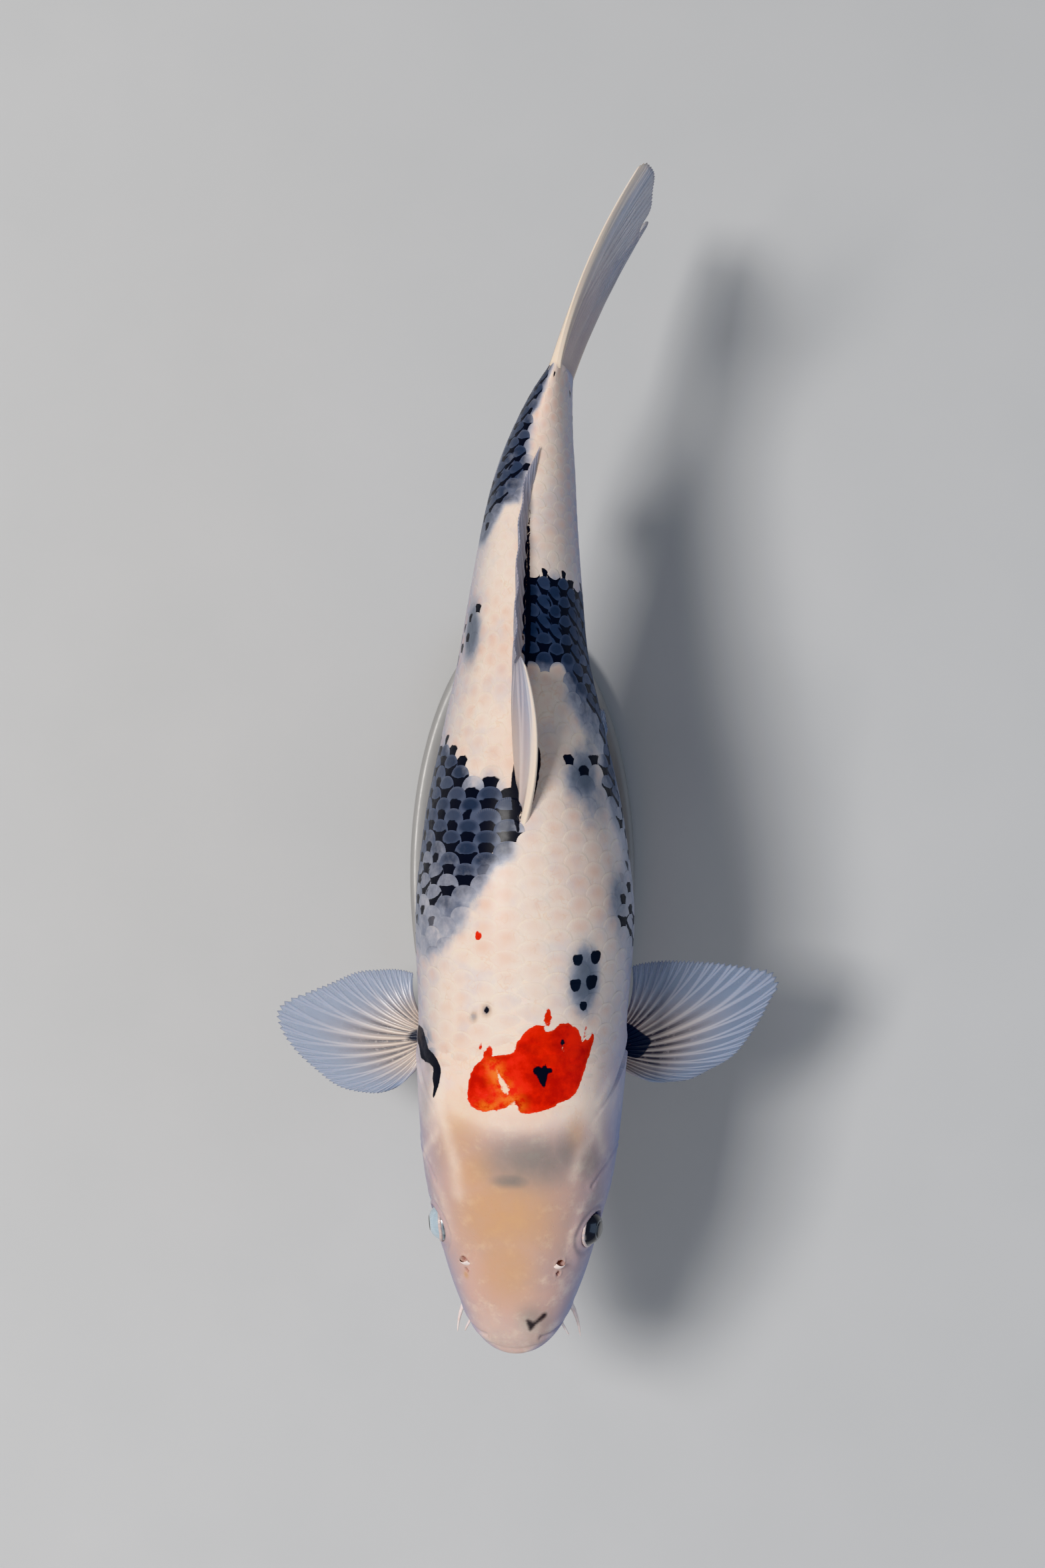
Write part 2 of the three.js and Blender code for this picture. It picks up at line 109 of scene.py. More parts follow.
def rounded(points, steps=5, closed=True):
    """More points along a smooth curve through the given ones."""
    p = np.array(points, float)
    p = np.vstack([p[-1:], p, p[:2]]) if closed else np.vstack([p[:1], p, p[-1:]])
    out = []
    for i in range(1, len(p) - 2):
        for h in np.arange(steps) / steps:
            a, b, c, d = p[i - 1 : i + 3]
            out.append(
                0.5
                * (2 * b + (c - a) * h + (2 * a - 5 * b + 4 * c - d) * h**2 + (3 * b - a - 3 * c + d) * h**3)
            )
    if not closed:
        out.append(p[-2])
    return np.array(out)


def wrap(s, t):
    """Flat millimetre coordinates on the body's side, t in degrees."""
    s, t = np.broadcast_arrays(np.asarray(s, float), np.asarray(t, float))
    return np.stack([s, t * DEG * GIRTH(np.clip(s, 0, BODY_LENGTH))], -1)


GIRTH = through(
    (0, 8), (10, 21), (49, 35), (88, 46), (150, 55), (212, 59), (256, 57), (340, 40), (424, 26), (478, 19),
)


def distance_to(points, path, closed):
    """Distance from each point to a path of any dimension, and whether the point is inside if closed."""
    path = np.asarray(path, float)
    ends = np.roll(path, -1, 0) if closed else path[1:]
    starts = path if closed else path[:-1]
    best = np.full(points.shape[:-1], 1e9)
    inside = np.zeros(points.shape[:-1], bool)
    for a, b in zip(starts, ends):
        along = b - a
        h = np.clip(((points - a) @ along) / max(along @ along, 1e-9), 0, 1)
        best = np.minimum(best, np.linalg.norm(points - a - h[..., None] * along, axis=-1))
        if closed:
            crosses = (a[1] > points[..., 1]) != (b[1] > points[..., 1])
            rise = along[1] if abs(along[1]) > 1e-9 else 1e-9
            inside ^= crosses & (points[..., 0] < a[0] + (points[..., 1] - a[1]) / rise * along[0])
    return best, inside


def area(s, t, outline, smooth=True):
    """Signed distance in millimetres to an outline of (s, t) pairs, positive inside."""
    edge = wrap(*np.array(outline, float).T)
    if smooth:
        edge = rounded(edge)
    gap, inside = distance_to(wrap(s, t), edge, True)
    return np.where(inside, gap, -gap)


def route_gap(flat, route, smooth=False):
    """Distance from flat points, as wrap gives them, to a line through (s, t) pairs."""
    line = wrap(*np.array(route, float).T)
    return distance_to(flat, rounded(line, closed=False) if smooth else line, False)[0]


def stroke(s, t, route, width):
    """Signed distance to a brush stroke along (s, t) pairs, positive inside."""
    return width / 2 - route_gap(wrap(s, t), route)


def spot(s, t, at, long, wide):
    """Signed distance to an oval spot."""
    d = wrap(s, t) - wrap(*at)
    return (1 - np.hypot(d[..., 0] / long, d[..., 1] / wide)) * min(long, wide)


def tooth(s, t, s0, t0, size):
    """Signed distance to a scale's black root, wider toward the tail."""
    long, wide = 2.3 * size, 3.4 * size
    rear = [(s0 + long, t0 - wide), (s0 + 1.4 * long, t0), (s0 + long, t0 + wide)]
    front = [(s0 - long, t0 + 0.6 * wide), (s0 - long, t0 - 0.6 * wide)]
    return area(s, t, rear + front)


def any_of(*fields):
    return np.maximum.reduce(fields)


# ---------------------------------------------------------------- the body's form

STATIONS = [  # s, half width, top, middle, bottom, crown, keel, roll
    (0, 0, -9, -9, -9, 2.0, 2.0, 5),
    (4, 12.6, -1.5, -10, -19, 2.1, 2.0, 5),
    (10, 19.2, 4.5, -10, -24.5, 2.1, 2.1, 5),
    (24, 27, 13.5, -9.5, -31, 2.1, 2.2, 5),
    (49, 35.8, 27.5, -8, -39, 2.2, 2.3, 5),
    (64, 39.4, 34.5, -7, -43, 2.3, 2.3, 5),
    (88, 45.6, 44, -6, -49, 2.35, 2.3, 4.5),
    (128, 49.6, 57, -5, -56.5, 2.3, 2.3, 3.5),
    (170, 51.5, 66, -4, -62, 2.2, 2.3, 2),
    (212, 53.6, 70.5, -4, -65, 2.15, 2.3, 1.5),
    (256, 49.2, 69.5, -3, -64, 2.1, 2.2, 1.5),
    (307, 38.7, 60.5, -1, -58, 2.05, 2.1, 0.5),
    (340, 31.6, 52, 0, -49.5, 2, 2, 0),
    (372, 27.4, 43.5, 0, -40, 2, 2, 0.5),
    (424, 20.2, 32, 0, -29, 2, 2, 3),
    (450, 14.2, 28.6, 0, -26.3, 2, 2, 5),
    (466, 9.6, 29, 0, -27, 2, 2, 6.5),
    (478, 5, 30, 0, -28.5, 2, 2, 7.5),
]


def along(s):
    return np.sqrt(np.clip(s, 0, BODY_LENGTH) / BODY_LENGTH)


HALF, TOP, MIDDLE, BOTTOM, CROWN, KEEL, ROLL = (
    through(*[(along(row[0]), row[i]) for row in STATIONS]) for i in range(1, 8)
)
HEADING = through(
    (0, 1.6), (180, 1.6), (230, -0.4), (320, -0.2), (350, 2.4), (390, 3.5), (420, 7.5), (450, 13),
    (475, 21), (500, 23), (600, 25),
)
SPINE_STEP = 2.0
bearing = HEADING(np.arange(310) * SPINE_STEP + SPINE_STEP / 2) * DEG
SPINE = np.vstack(
    [[SNOUT], SNOUT + np.cumsum(SPINE_STEP * np.stack([np.sin(bearing), np.cos(bearing)], 1), 0)]
)


def place(s, side, up):
    """A point beside and above the spine, in millimetres from the stand's middle."""
    s, side, up = np.broadcast_arrays(np.asarray(s, float), side, up)
    k = np.clip((s / SPINE_STEP).astype(int), 0, len(SPINE) - 2)
    on = SPINE[k] + (SPINE[k + 1] - SPINE[k]) * (s / SPINE_STEP - k)[..., None]
    turn = HEADING(s) * DEG
    return np.stack(
        [on[..., 0] + side * np.cos(turn), on[..., 1] - side * np.sin(turn), AXIS_HEIGHT + up], -1,
    )


def place_rolled(s, side, up):
    roll = ROLL(along(s)) * DEG
    return place(s, side * np.cos(roll) - up * np.sin(roll), up * np.cos(roll) + side * np.sin(roll))


def section(s, t, inset=0.0):
    """Side and height of the body's outline, t in radians."""
    at = along(s)
    middle = MIDDLE(at)
    upper = np.cos(t) > 0
    reach = np.maximum(np.where(upper, TOP(at) - middle, middle - BOTTOM(at)) - inset, 0)
    power = 2 / np.where(upper, CROWN(at), KEEL(at))
    side = np.sign(np.sin(t)) * np.abs(np.sin(t)) ** power * np.maximum(HALF(at) - inset, 0)
    return side, middle + np.sign(np.cos(t)) * np.abs(np.cos(t)) ** power * reach


def body(s, t, inset=0.0):
    s, t = np.broadcast_arrays(np.asarray(s, float), np.asarray(t, float))
    return place_rolled(s, *section(s, t, inset))


def body_with_normal(s, t, inset=0.0):
    s, t = np.broadcast_arrays(np.asarray(s, float), np.asarray(t, float))
    point = body(s, t, inset)
    before = np.maximum(s - 0.4, 0.02)
    ahead = body(np.minimum(s + 0.4, BODY_LENGTH), t, inset) - body(before, t, inset)
    round_ = body(s, t + 0.02, inset) - body(s, t - 0.02, inset)
    normal = np.cross(round_, ahead)
    normal /= np.maximum(np.linalg.norm(normal, axis=-1), 1e-9)[..., None]
    inner = place_rolled(s, 0.0, MIDDLE(along(s)))
    normal *= np.sign(np.sum((point - inner) * normal, -1) + 1e-9)[..., None]
    return point, normal


# ---------------------------------------------------------------- meshes


def grid(rows, columns, closed=False, start=0, flip=False):
    """Quads over a grid of points stored row by row."""
    i, j = np.meshgrid(np.arange(rows - 1), np.arange(columns if closed else columns - 1), indexing="ij")
    k = (j + 1) % columns
    here, ahead = i * columns, (i + 1) * columns
    quads = np.stack([here + j, here + k, ahead + k, ahead + j], -1).reshape(-1, 4)
    return (quads[:, ::-1] if flip else quads) + start


def capped(rows, columns):
    """Faces of a closed tube of points; its ends are fans to two more points stored after the rest."""
    ring, tip, last = np.arange(columns), rows * columns, (rows - 1) * columns
    start = np.stack([np.roll(ring, -1), ring, np.full(columns, tip)], -1)
    end = np.stack([ring + last, np.roll(ring, -1) + last, np.full(columns, tip + 1)], -1)
    return [grid(rows, columns, True, flip=True), start, end]


def two_faced(rows, columns):
    """Faces of a closed sheet: a grid, the same grid behind it and the strip round their rim."""
    size = rows * columns
    rim = np.concatenate([
        np.arange(columns),
        np.arange(1, rows) * columns + columns - 1,
        (rows - 1) * columns + np.arange(columns - 2, -1, -1),
        np.arange(rows - 2, 0, -1) * columns,
    ])
    after = np.roll(rim, -1)
    strip = np.stack([after, rim, rim + size, after + size], -1)
    return np.vstack([grid(rows, columns), grid(rows, columns, start=size, flip=True), strip])


def turn_share(loops, sizes, steps, tips_from):
    """Each corner's share of the turn, unbroken across the seam; points from tips_from on are fan tips."""
    u = (loops % steps) / steps
    face = np.repeat(np.arange(len(sizes)), sizes)
    widest = np.zeros(len(sizes))
    np.maximum.at(widest, face, np.where(loops < tips_from, u, 0))
    u = np.where((loops < tips_from) & (u < 0.2) & (widest[face] > 0.8), u + 1, u)
    return np.where(loops >= tips_from, widest[face], u)


def make(
    name, points, faces, material, uv=None, values=None, replaces=(), smooth=True, stage=False,
    normals=None,
):
    """A mesh object from points in millimetres, a list of face arrays and values at the points."""
    points = np.asarray(points, float).reshape(-1, 3)
    mesh = bpy.data.meshes.new(name)
    faces = [np.asarray(f) for f in faces if len(f)]
    sizes = np.concatenate([np.full(len(f), f.shape[1]) for f in faces])
    loops = np.concatenate([f.ravel() for f in faces])
    mesh.vertices.add(len(points))
    mesh.vertices.foreach_set("co", (points / 1000 + ORIGIN).ravel())
    mesh.loops.add(len(loops))
    mesh.loops.foreach_set("vertex_index", loops)
    mesh.polygons.add(len(sizes))
    mesh.polygons.foreach_set("loop_start", np.concatenate([[0], np.cumsum(sizes)[:-1]]))
    mesh.update(calc_edges=True)
    if uv is not None:
        layer = mesh.uv_layers.new(name="OFBake")
        corners = uv(loops, sizes) if callable(uv) else uv[loops]
        layer.data.foreach_set("uv", np.asarray(corners, float).ravel())
    for key, value in (values or {}).items():
        value = np.asarray(value, float)
        wide = value.ndim == 2
        attribute = mesh.attributes.new(key, "FLOAT_VECTOR" if wide else "FLOAT", "POINT")
        attribute.data.foreach_set("vector" if wide else "value", value.ravel())
    mesh.polygons.foreach_set("use_smooth", np.full(len(sizes), smooth))
    mesh.materials.append(material)
    mesh.validate()
    if normals is not None:
        mesh.normals_split_custom_set_from_vertices(np.asarray(normals, float).reshape(-1, 3).tolist())
    piece = bpy.data.objects.new(name, mesh)
    bpy.context.scene.collection.objects.link(piece)
    if stage:
        return piece
    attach(piece, "root")
    if replaces:
        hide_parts(*replaces)
    return piece


# ---------------------------------------------------------------- shader helpers


class Wire:
    """A shader value. Sums, products and the like of wires and numbers add math nodes to its look."""

    def __init__(self, look, socket):
        self.look, self.socket = look, socket

    def __add__(self, other):
        return self.look.math("ADD", self, other)

    def __sub__(self, other):
        return self.look.math("SUBTRACT", self, other)

    def __rsub__(self, other):
        return self.look.math("SUBTRACT", other, self)

    def __mul__(self, other):
        return self.look.math("MULTIPLY", self, other)

    def __truediv__(self, other):
        return self.look.math("DIVIDE", self, other)

    def __rpow__(self, other):
        return self.look.math("POWER", other, self)

    def __abs__(self):
        return self.look.math("ABSOLUTE", self)


class Look:
    """A node material with short ways to add nodes."""

    def __init__(self, name):
        self.material = bpy.data.materials.new(name)
        self.material.use_nodes = True
        self.tree = self.material.node_tree
        self.tree.nodes.clear()
        self.surface = self.add("ShaderNodeBsdfPrincipled")
        out = self.add("ShaderNodeOutputMaterial")
        self.tree.links.new(self.surface.outputs[0], out.inputs[0])

    def add(self, kind, inputs=None, **settings):
        node = self.tree.nodes.new(kind)
        for key, value in settings.items():
            setattr(node, key, value)
        for key, value in (inputs or {}).items():
            self.put(node.inputs[key], value)
        return node

    def put(self, socket, value):
        value = value.socket if isinstance(value, Wire) else value
        if isinstance(value, bpy.types.NodeSocket):
            self.tree.links.new(value, socket)
        elif socket.type == "RGBA" and len(value) == 3:
            socket.default_value = (*value, 1)
        else:
            socket.default_value = value

    def set(self, **inputs):
        for key, value in inputs.items():
            self.put(self.surface.inputs[key.replace("_", " ")], value)

    def value(self, name):
        return Wire(self, self.add("ShaderNodeAttribute", attribute_name=name).outputs["Fac"])

    def parts(self, name):
        vector = self.add("ShaderNodeAttribute", attribute_name=name).outputs["Vector"]
        return [Wire(self, part) for part in self.add("ShaderNodeSeparateXYZ", {0: vector}).outputs]

    def math(self, operation, *values):
        node = self.add("ShaderNodeMath", dict(enumerate(values)), operation=operation)
        return Wire(self, node.outputs[0])

    def band(self, value, low, high, out_low=0.0, out_high=1.0):
        """A smooth step of value from low to high."""
        inputs = {0: value, 1: low, 2: high, 3: out_low, 4: out_high}
        node = self.add("ShaderNodeMapRange", inputs, interpolation_type="SMOOTHSTEP")
        return Wire(self, node.outputs[0])

    def blend(self, share, a, b):
        node = self.add("ShaderNodeMix", data_type="RGBA")
        self.put(node.inputs[0], share)
        self.put(node.inputs[6], a)
        self.put(node.inputs[7], b)
        return node.outputs[2]

    def noise(self, scale, detail, roughness, stretch=None):
        where = self.add("ShaderNodeTexCoord").outputs["Object"]
        if stretch:
            where = self.add("ShaderNodeMapping", {0: where, "Scale": stretch}).outputs[0]
        inputs = {"Vector": where, "Scale": scale, "Detail": detail, "Roughness": roughness}
        return Wire(self, self.add("ShaderNodeTexNoise", inputs).outputs[0])

    def cells(self, scale):
        where = self.add("ShaderNodeTexCoord").outputs["Object"]
        return self.add("ShaderNodeTexVoronoi", {"Vector": where, "Scale": scale}).outputs[0]

    def bump(self, height, strength, distance):
        inputs = {"Height": height, "Strength": strength, "Distance": distance}
        return self.add("ShaderNodeBump", inputs).outputs[0]


# ---------------------------------------------------------------- markings

IVORY = (0.80, 0.655, 0.555)
CREAM = (0.85, 0.735, 0.60)
BLUSH = (0.74, 0.45, 0.34)
# the head's two tones below are darkened for painted shade where the head slopes away: real colour and painted
# shade together
HEAD_TONE_WITH_SHADE = (0.505, 0.362, 0.335)
PEACH_WITH_SHADE = (0.56, 0.325, 0.175)
# the cool blue-grey below is painted blue reflection and shade for the sides
PAINTED_SIDE_BLUE = (0.235, 0.295, 0.49)
RED = (0.74, 0.018, 0.004)
DEEP_RED = (0.44, 0.008, 0.004)
ORANGE = (0.86, 0.22, 0.03)
BLACK = (0.010, 0.011, 0.017)
SLATE = (0.036, 0.045, 0.073)
SMOKE = (0.098, 0.114, 0.168)
MIST = (0.165, 0.18, 0.215)

# Outlines as (s, t). All of CROWN_MARK and most of HEART, SHOULDER and SNOUT_MARK are points picked by eye in
# the photo and converted to body coordinates by a scratch program. PALE_STREAK, the rest of SNOUT_MARK and
# more than half of the points in bone_and_ridge_highlight_field lie within 1.5 of such points.

CROWN_MARK = [
    (127.5, -22.9), (140, -21.8), (148, -14.6), (150.5, -2), (156.5, 0.3), (163, 5.4), (164.5, 10.6),
    (161, 14.3), (164.5, 20.1), (165, 25.8), (161.5, 31.8), (156.5, 35.2), (158, 42.4), (148, 39.5),
    (136, 35), (129.5, 29.5), (127.5, 22.6), (124.5, 17.2), (122, 7.4), (122.5, 2.9), (126, 0.6), (124, -4),
    (122.5, -10), (123, -16.9),
]
LEFT_SADDLE = [
    (299, -70), (296, -55), (292, -42), (279, -30), (284, -19), (279, -10), (276, 1), (256, 1), (250, -6),
    (246, -14), (229, -22), (226, -38), (214, -46), (209, -60), (212, -78), (224, -92), (240, -94),
    (250, -108), (266, -128), (276, -112), (282, -98), (296, -88),
]
LEFT_SMOKE = [
    (294, -70), (290, -54), (286, -42), (274, -30), (278, -19), (273, -8), (268, -2), (251, -3), (244, -13),
    (229, -21), (216, -29), (206, -40), (200, -58), (203, -80), (218, -98), (240, -100), (250, -116),
    (266, -136), (280, -118), (290, -96),
]
RIGHT_SADDLE = [
    (376, 4), (377, 15), (378, 36), (373, 58), (371, 89), (366, 106), (338, 108), (318, 100), (315, 84),
    (322, 64), (331, 48), (336, 36), (333, 22), (334, 8), (334, 2),
]
RIGHT_STRIP = [
    (330, 64), (321, 76), (312, 79), (304, 83), (295, 82), (288, 77), (280, 72), (271, 73), (260, 79),
    (250, 82), (238, 86), (226, 72), (215, 67), (205, 80),
]
TAIL_PATCH = [
    (480, -12), (479, -74), (462, -80), (446, -76), (434, -72), (424, -70), (410, -82), (398, -86),
    (399, -58), (408, -44), (417, -34), (418, -14), (427, -10), (437, -14), (446, -16), (450, -28),
    (457, -28), (463, -14),
]
HEART = [
    (143.5, 7.7), (145, 10.3), (144, 12), (146, 13.8), (144, 14.9), (143.8, 17.8), (141.8, 17.8),
    (141.5, 15.5), (138.5, 15.2), (134.3, 13.8), (137.5, 11.2), (140, 10), (142, 7.7),
]
SHOULDER = [
    (158, -84), (158.5, -68), (154, -61.5), (149.5, -57.3), (147.5, -51.6), (144, -46.1), (140, -43.5),
    (134, -44.7), (128, -47.8), (126.6, -50), (132, -50.1), (135.5, -51.6), (140, -50.9), (142, -54.1),
    (143, -62.5), (144.5, -67.6), (149, -72.8), (152, -80),
]
SNOUT_MARK = [
    (18, 15.2), (18.5, 18.9), (17.3, 23.2), (19.5, 29.2), (21.8, 32.9), (22, 36.7), (20.5, 38.2),
    (18.5, 34.1), (16, 27.4), (13.5, 24.1), (13, 20.9), (15, 18.3),
]
PALE_STREAK = [
    (143.6, -8.6), (139.5, -6.9), (137, -6.4), (134.5, -5.0), (131.5, -3.6), (130.2, -2.4), (133.5, -1.6),
    (136.5, -3.4), (139, -5.2), (142, -7.2),
]


def red_field(s, t):
    fingers = [stroke(s, t, [(150, 39), (159.5, 41.6)], 2.4), stroke(s, t, [(154, 36.6), (163, 36.4)], 1.5)]
    bumps = [
        spot(s, t, (149.8, -12.6), 3.4, 2.3), spot(s, t, (154, -16.9), 2.3, 0.7),
        spot(s, t, (168, 13.9), 4.3, 1.7),
    ]
    return any_of(area(s, t, CROWN_MARK), *fingers, *bumps, spot(s, t, (205.5, -20.3), 2.1, 1.9))


def pale_field(s, t):
    """Ivory gaps in the crown mark."""
    return any_of(
        area(s, t, PALE_STREAK), spot(s, t, (153.3, 22.9), 1.7, 0.7), spot(s, t, (126.5, -0.2), 1.6, 0.6),
    )


def ember_field(s, t):
    """Where the crown mark pales to orange, 0 to 1."""
    streak = route_gap(wrap(s, t), [(125.5, 0.5), (131, -2.5), (137, -6), (144, -9.5)])
    low = route_gap(wrap(s, t), [(124, -15), (124.5, -8)])
    return np.clip(0.9 * bell(streak, 3.6) + 0.7 * bell(low, 3.5), 0, 1)


SHOULDER_TEETH = [
    (194.5, 28.6, 0.85), (195.5, 39.8, 1.0), (184, 38.2, 1.1), (182.8, 28.2, 0.95), (173, 33.8, 0.7),
]
BESIDE_DORSAL = [  # black along the dorsal fin's root
    [(299, 2), (294, 9.4), (288, 11.4), (283, 10.6), (276, 9), (268, 6.6), (260, 3), (262, 0.5), (280, 0.5)],
    [(288, -1), (284, -4.6), (273, -5.2), (264, -4), (257, -2.6), (253, -1.2), (258, -0.5)],
    [(396, -0.5), (390, -3), (374, -3.6), (362, -3.2), (350, -2.6), (346, -0.5)],
    [(402, 0.5), (396, 2.6), (384, 2.8), (374, 3.6), (358, 5.4), (344, 5.4), (336, 4.4), (332, 1)],
]


def ink_field(s, t):
    """Black drawn on the skin itself, not scale by scale."""
    return any_of(
        area(s, t, HEART, False),
        *[area(s, t, outline) for outline in (SHOULDER, SNOUT_MARK, *BESIDE_DORSAL)],
        *[tooth(s, t, *at) for at in SHOULDER_TEETH],
        spot(s, t, (156.2, 22.5), 1.5, 1.3),
        spot(s, t, (170.5, -14.8), 1.7, 1.2),
        spot(s, t, (472, 9), 1.6, 1.0),
    )


def clouds(s, t, *parts):
    """Soft ovals given as (place, half length, half width, strength), the strongest at each point."""
    total = np.zeros(np.shape(s))
    for at, long, wide, strength in parts:
        d = wrap(s, t) - wrap(*at)
        total = np.maximum(total, strength * np.exp(-((np.hypot(d[..., 0] / long, d[..., 1] / wide)) ** 2.6)))
    return total


def haze_field(s, t):
    """Soft grey-blue clouds in the skin, 0 to 1."""
    return clouds(
        s, t,
        ((99, 11), 13, 20, 0.80), ((89.5, 0.5), 4, 8, 0.90), ((103, 27), 10, 9, 0.72),
        ((98, 47), 10, 10, 0.52), ((18, 20), 8, 7, 0.62), ((15, 34), 9, 9, 0.40), ((185, 34), 16, 9.5, 0.86),
        ((167, -21.8), 2.2, 1.9, 0.28), ((170.5, -14.8), 2.6, 2.1, 0.45),
        ((151, -64), 9, 9, 0.62), ((143, -56), 9, 6, 0.50), ((130, -58), 16, 8, 0.38),
        ((280, 40), 13, 12, 0.80), ((270, 47), 16, 13, 0.36), ((222, 60), 13, 10, 0.55),
        ((347, -57), 14, 8, 0.85), ((97, -46), 9, 6, 0.14), ((78, 60), 12, 10, 0.26),
        ((294, 52), 9, 8, 0.4), ((404, -66), 14, 8, 0.45),
    )


def bone_and_ridge_highlight_field(s, t):
    """Pale lines where bone shows under the head's skin, and a painted highlight along the back's ridge, 0 to
    1.
    """
    pale = 0
    for route, width, strength in (
        ([(128, -45), (116.5, -41.5), (104, -35), (93.5, -32), (82, -32)], 3.2, 0.9),
        ([(97, -69), (105, -55), (111, -46)], 2.4, 0.8),
        ([(146, 41), (128.5, 44.4), (115, 48.7), (105, 59)], 3.6, 0.8),
        ([(112, 49.3), (102.5, 38.4), (91.5, 35.2)], 2.6, 0.6),
        ([(124, -31), (117.5, -12), (116, 0), (117, 10), (121.5, 24), (131, 38)], 3.0, 0.8),
        ([(60, -48), (74, -47), (84, -52)], 3.0, 0.4),
        # painted highlight along the back's ridge
        ([(246, 0.5), (215, 0), (180, 1)], 3.4, 0.75),
        ([(11, -34), (6, 0), (10, 14)], 8.0, 0.55),
    ):
        pale = np.maximum(pale, 0.6 * strength * bell(route_gap(wrap(s, t), route), width * 1.25))
    return pale


def peach_field(s, t):
    """Warm orange under the head's skin, 0 to 1."""
    return clouds(
        s, t,
        ((72, -4), 24, 25, 0.92), ((110, -28), 18, 14, 0.62), ((47, -3), 22, 14, 0.80),
        ((92, -19), 15, 14, 0.75), ((112, 34), 9, 6, 0.5), ((66, 20), 16, 9, 0.5),
        ((40, -41), 1.9, 1.7, 1.0), ((170.5, -14.8), 3.2, 2.7, 1.0), ((167, -21.8), 2.6, 2.2, 0.8),
    )


def painted_side_light_field(s, t):
    """Cool tint down the sides, 0 to 1: mostly painted blue reflection and shade, stronger on the +X side, away
    from the key lamp.
    """
    low = mix(34, 38, ease(s, 150, 240))
    start = low + 2 * (t < 0) - 12 * ease(s, 300, 400)
    return ease(np.abs(t), start, 88) * (1 - ease(np.abs(t), 128, 165)) * (0.84 + 0.16 * ease(t, -30, 60))


def black_share(s, t):
    """How far a scale at (s, t) is black at its front, by the patch it lies in."""
    small = [
        stroke(s, t, [(360, -54), (350, -66), (338, -78)], 9),
        spot(s, t, (352, -98), 10, 13),
        stroke(s, t, [(288, 33), (280, 44)], 11),
        stroke(s, t, [(285, 52), (281, 62)], 10),
        spot(s, t, (224, 64), 7, 7),
        spot(s, t, (214, 73), 7, 7),
        spot(s, t, (238, 84), 10, 8),
        stroke(s, t, [(222, 97), (200, 102)], 9),
        stroke(s, t, [(476, 78), (464, 88), (450, 94)], 7),
    ]
    left = 1.02 * ease(area(s, t, LEFT_SADDLE, False), -1.5, 3.0)
    right = 1.45 * ease(area(s, t, RIGHT_SADDLE, False), -2.0, 3.5)
    strip = mix(1.15, 1.35, ease(s, 270, 290)) * ease(
        stroke(s, t, RIGHT_STRIP, mix(12, 24, ease(s, 240, 290))), -2.0, 2.0,
    )
    rear = 1.38 * ease(area(s, t, TAIL_PATCH, False), -2.0, 1.5)
    return any_of(left, right, strip, 0.78 * ease(any_of(*small), -1.5, 1.5), rear)


def slate_share(s, t):
    """How far a scale's rounded rear is slate grey."""
    left = ease(area(s, t, LEFT_SMOKE, False), -6, 6) * mix(0.58, 1, ease(s, 222, 262))
    ahead = ease(s, 326, 346)
    low = (1 - ahead) * ease(t, 30, 48)
    right = 1.1 * ease(
        area(s + 5 * ease(s, 345, 365), t, RIGHT_SADDLE, False), mix(-4, -16, low), mix(2, 5, low),
    )
    strip = mix(0.4, 0.85, ease(s, 245, 285)) * ease(stroke(s, t, RIGHT_STRIP, 24), -6, 5)
    near = 0.62 * ease(stroke(s, t, [(326, 48), (314, 58), (305, 66)], 18), -7, 5)
    tail = 0.84 * ease(area(s, t, TAIL_PATCH, False), -5, 2)
    return any_of(left, right, strip, near, tail)


FAR_OUT = -9.0  # signed distances stop here


def marks(s, t):
    """Marking values shared by the skin and the scales."""
    return {
        "red": np.maximum(red_field(s, t), FAR_OUT),
        "pale": np.maximum(pale_field(s, t), FAR_OUT),
        "ink": np.maximum(ink_field(s, t), FAR_OUT),
        "tone": np.stack([haze_field(s, t), peach_field(s, t), painted_side_light_field(s, t)], -1),
        "relief": np.stack([bone_and_ridge_highlight_field(s, t), ember_field(s, t), 1 - ease(s, 104, 128)], -1),
    }


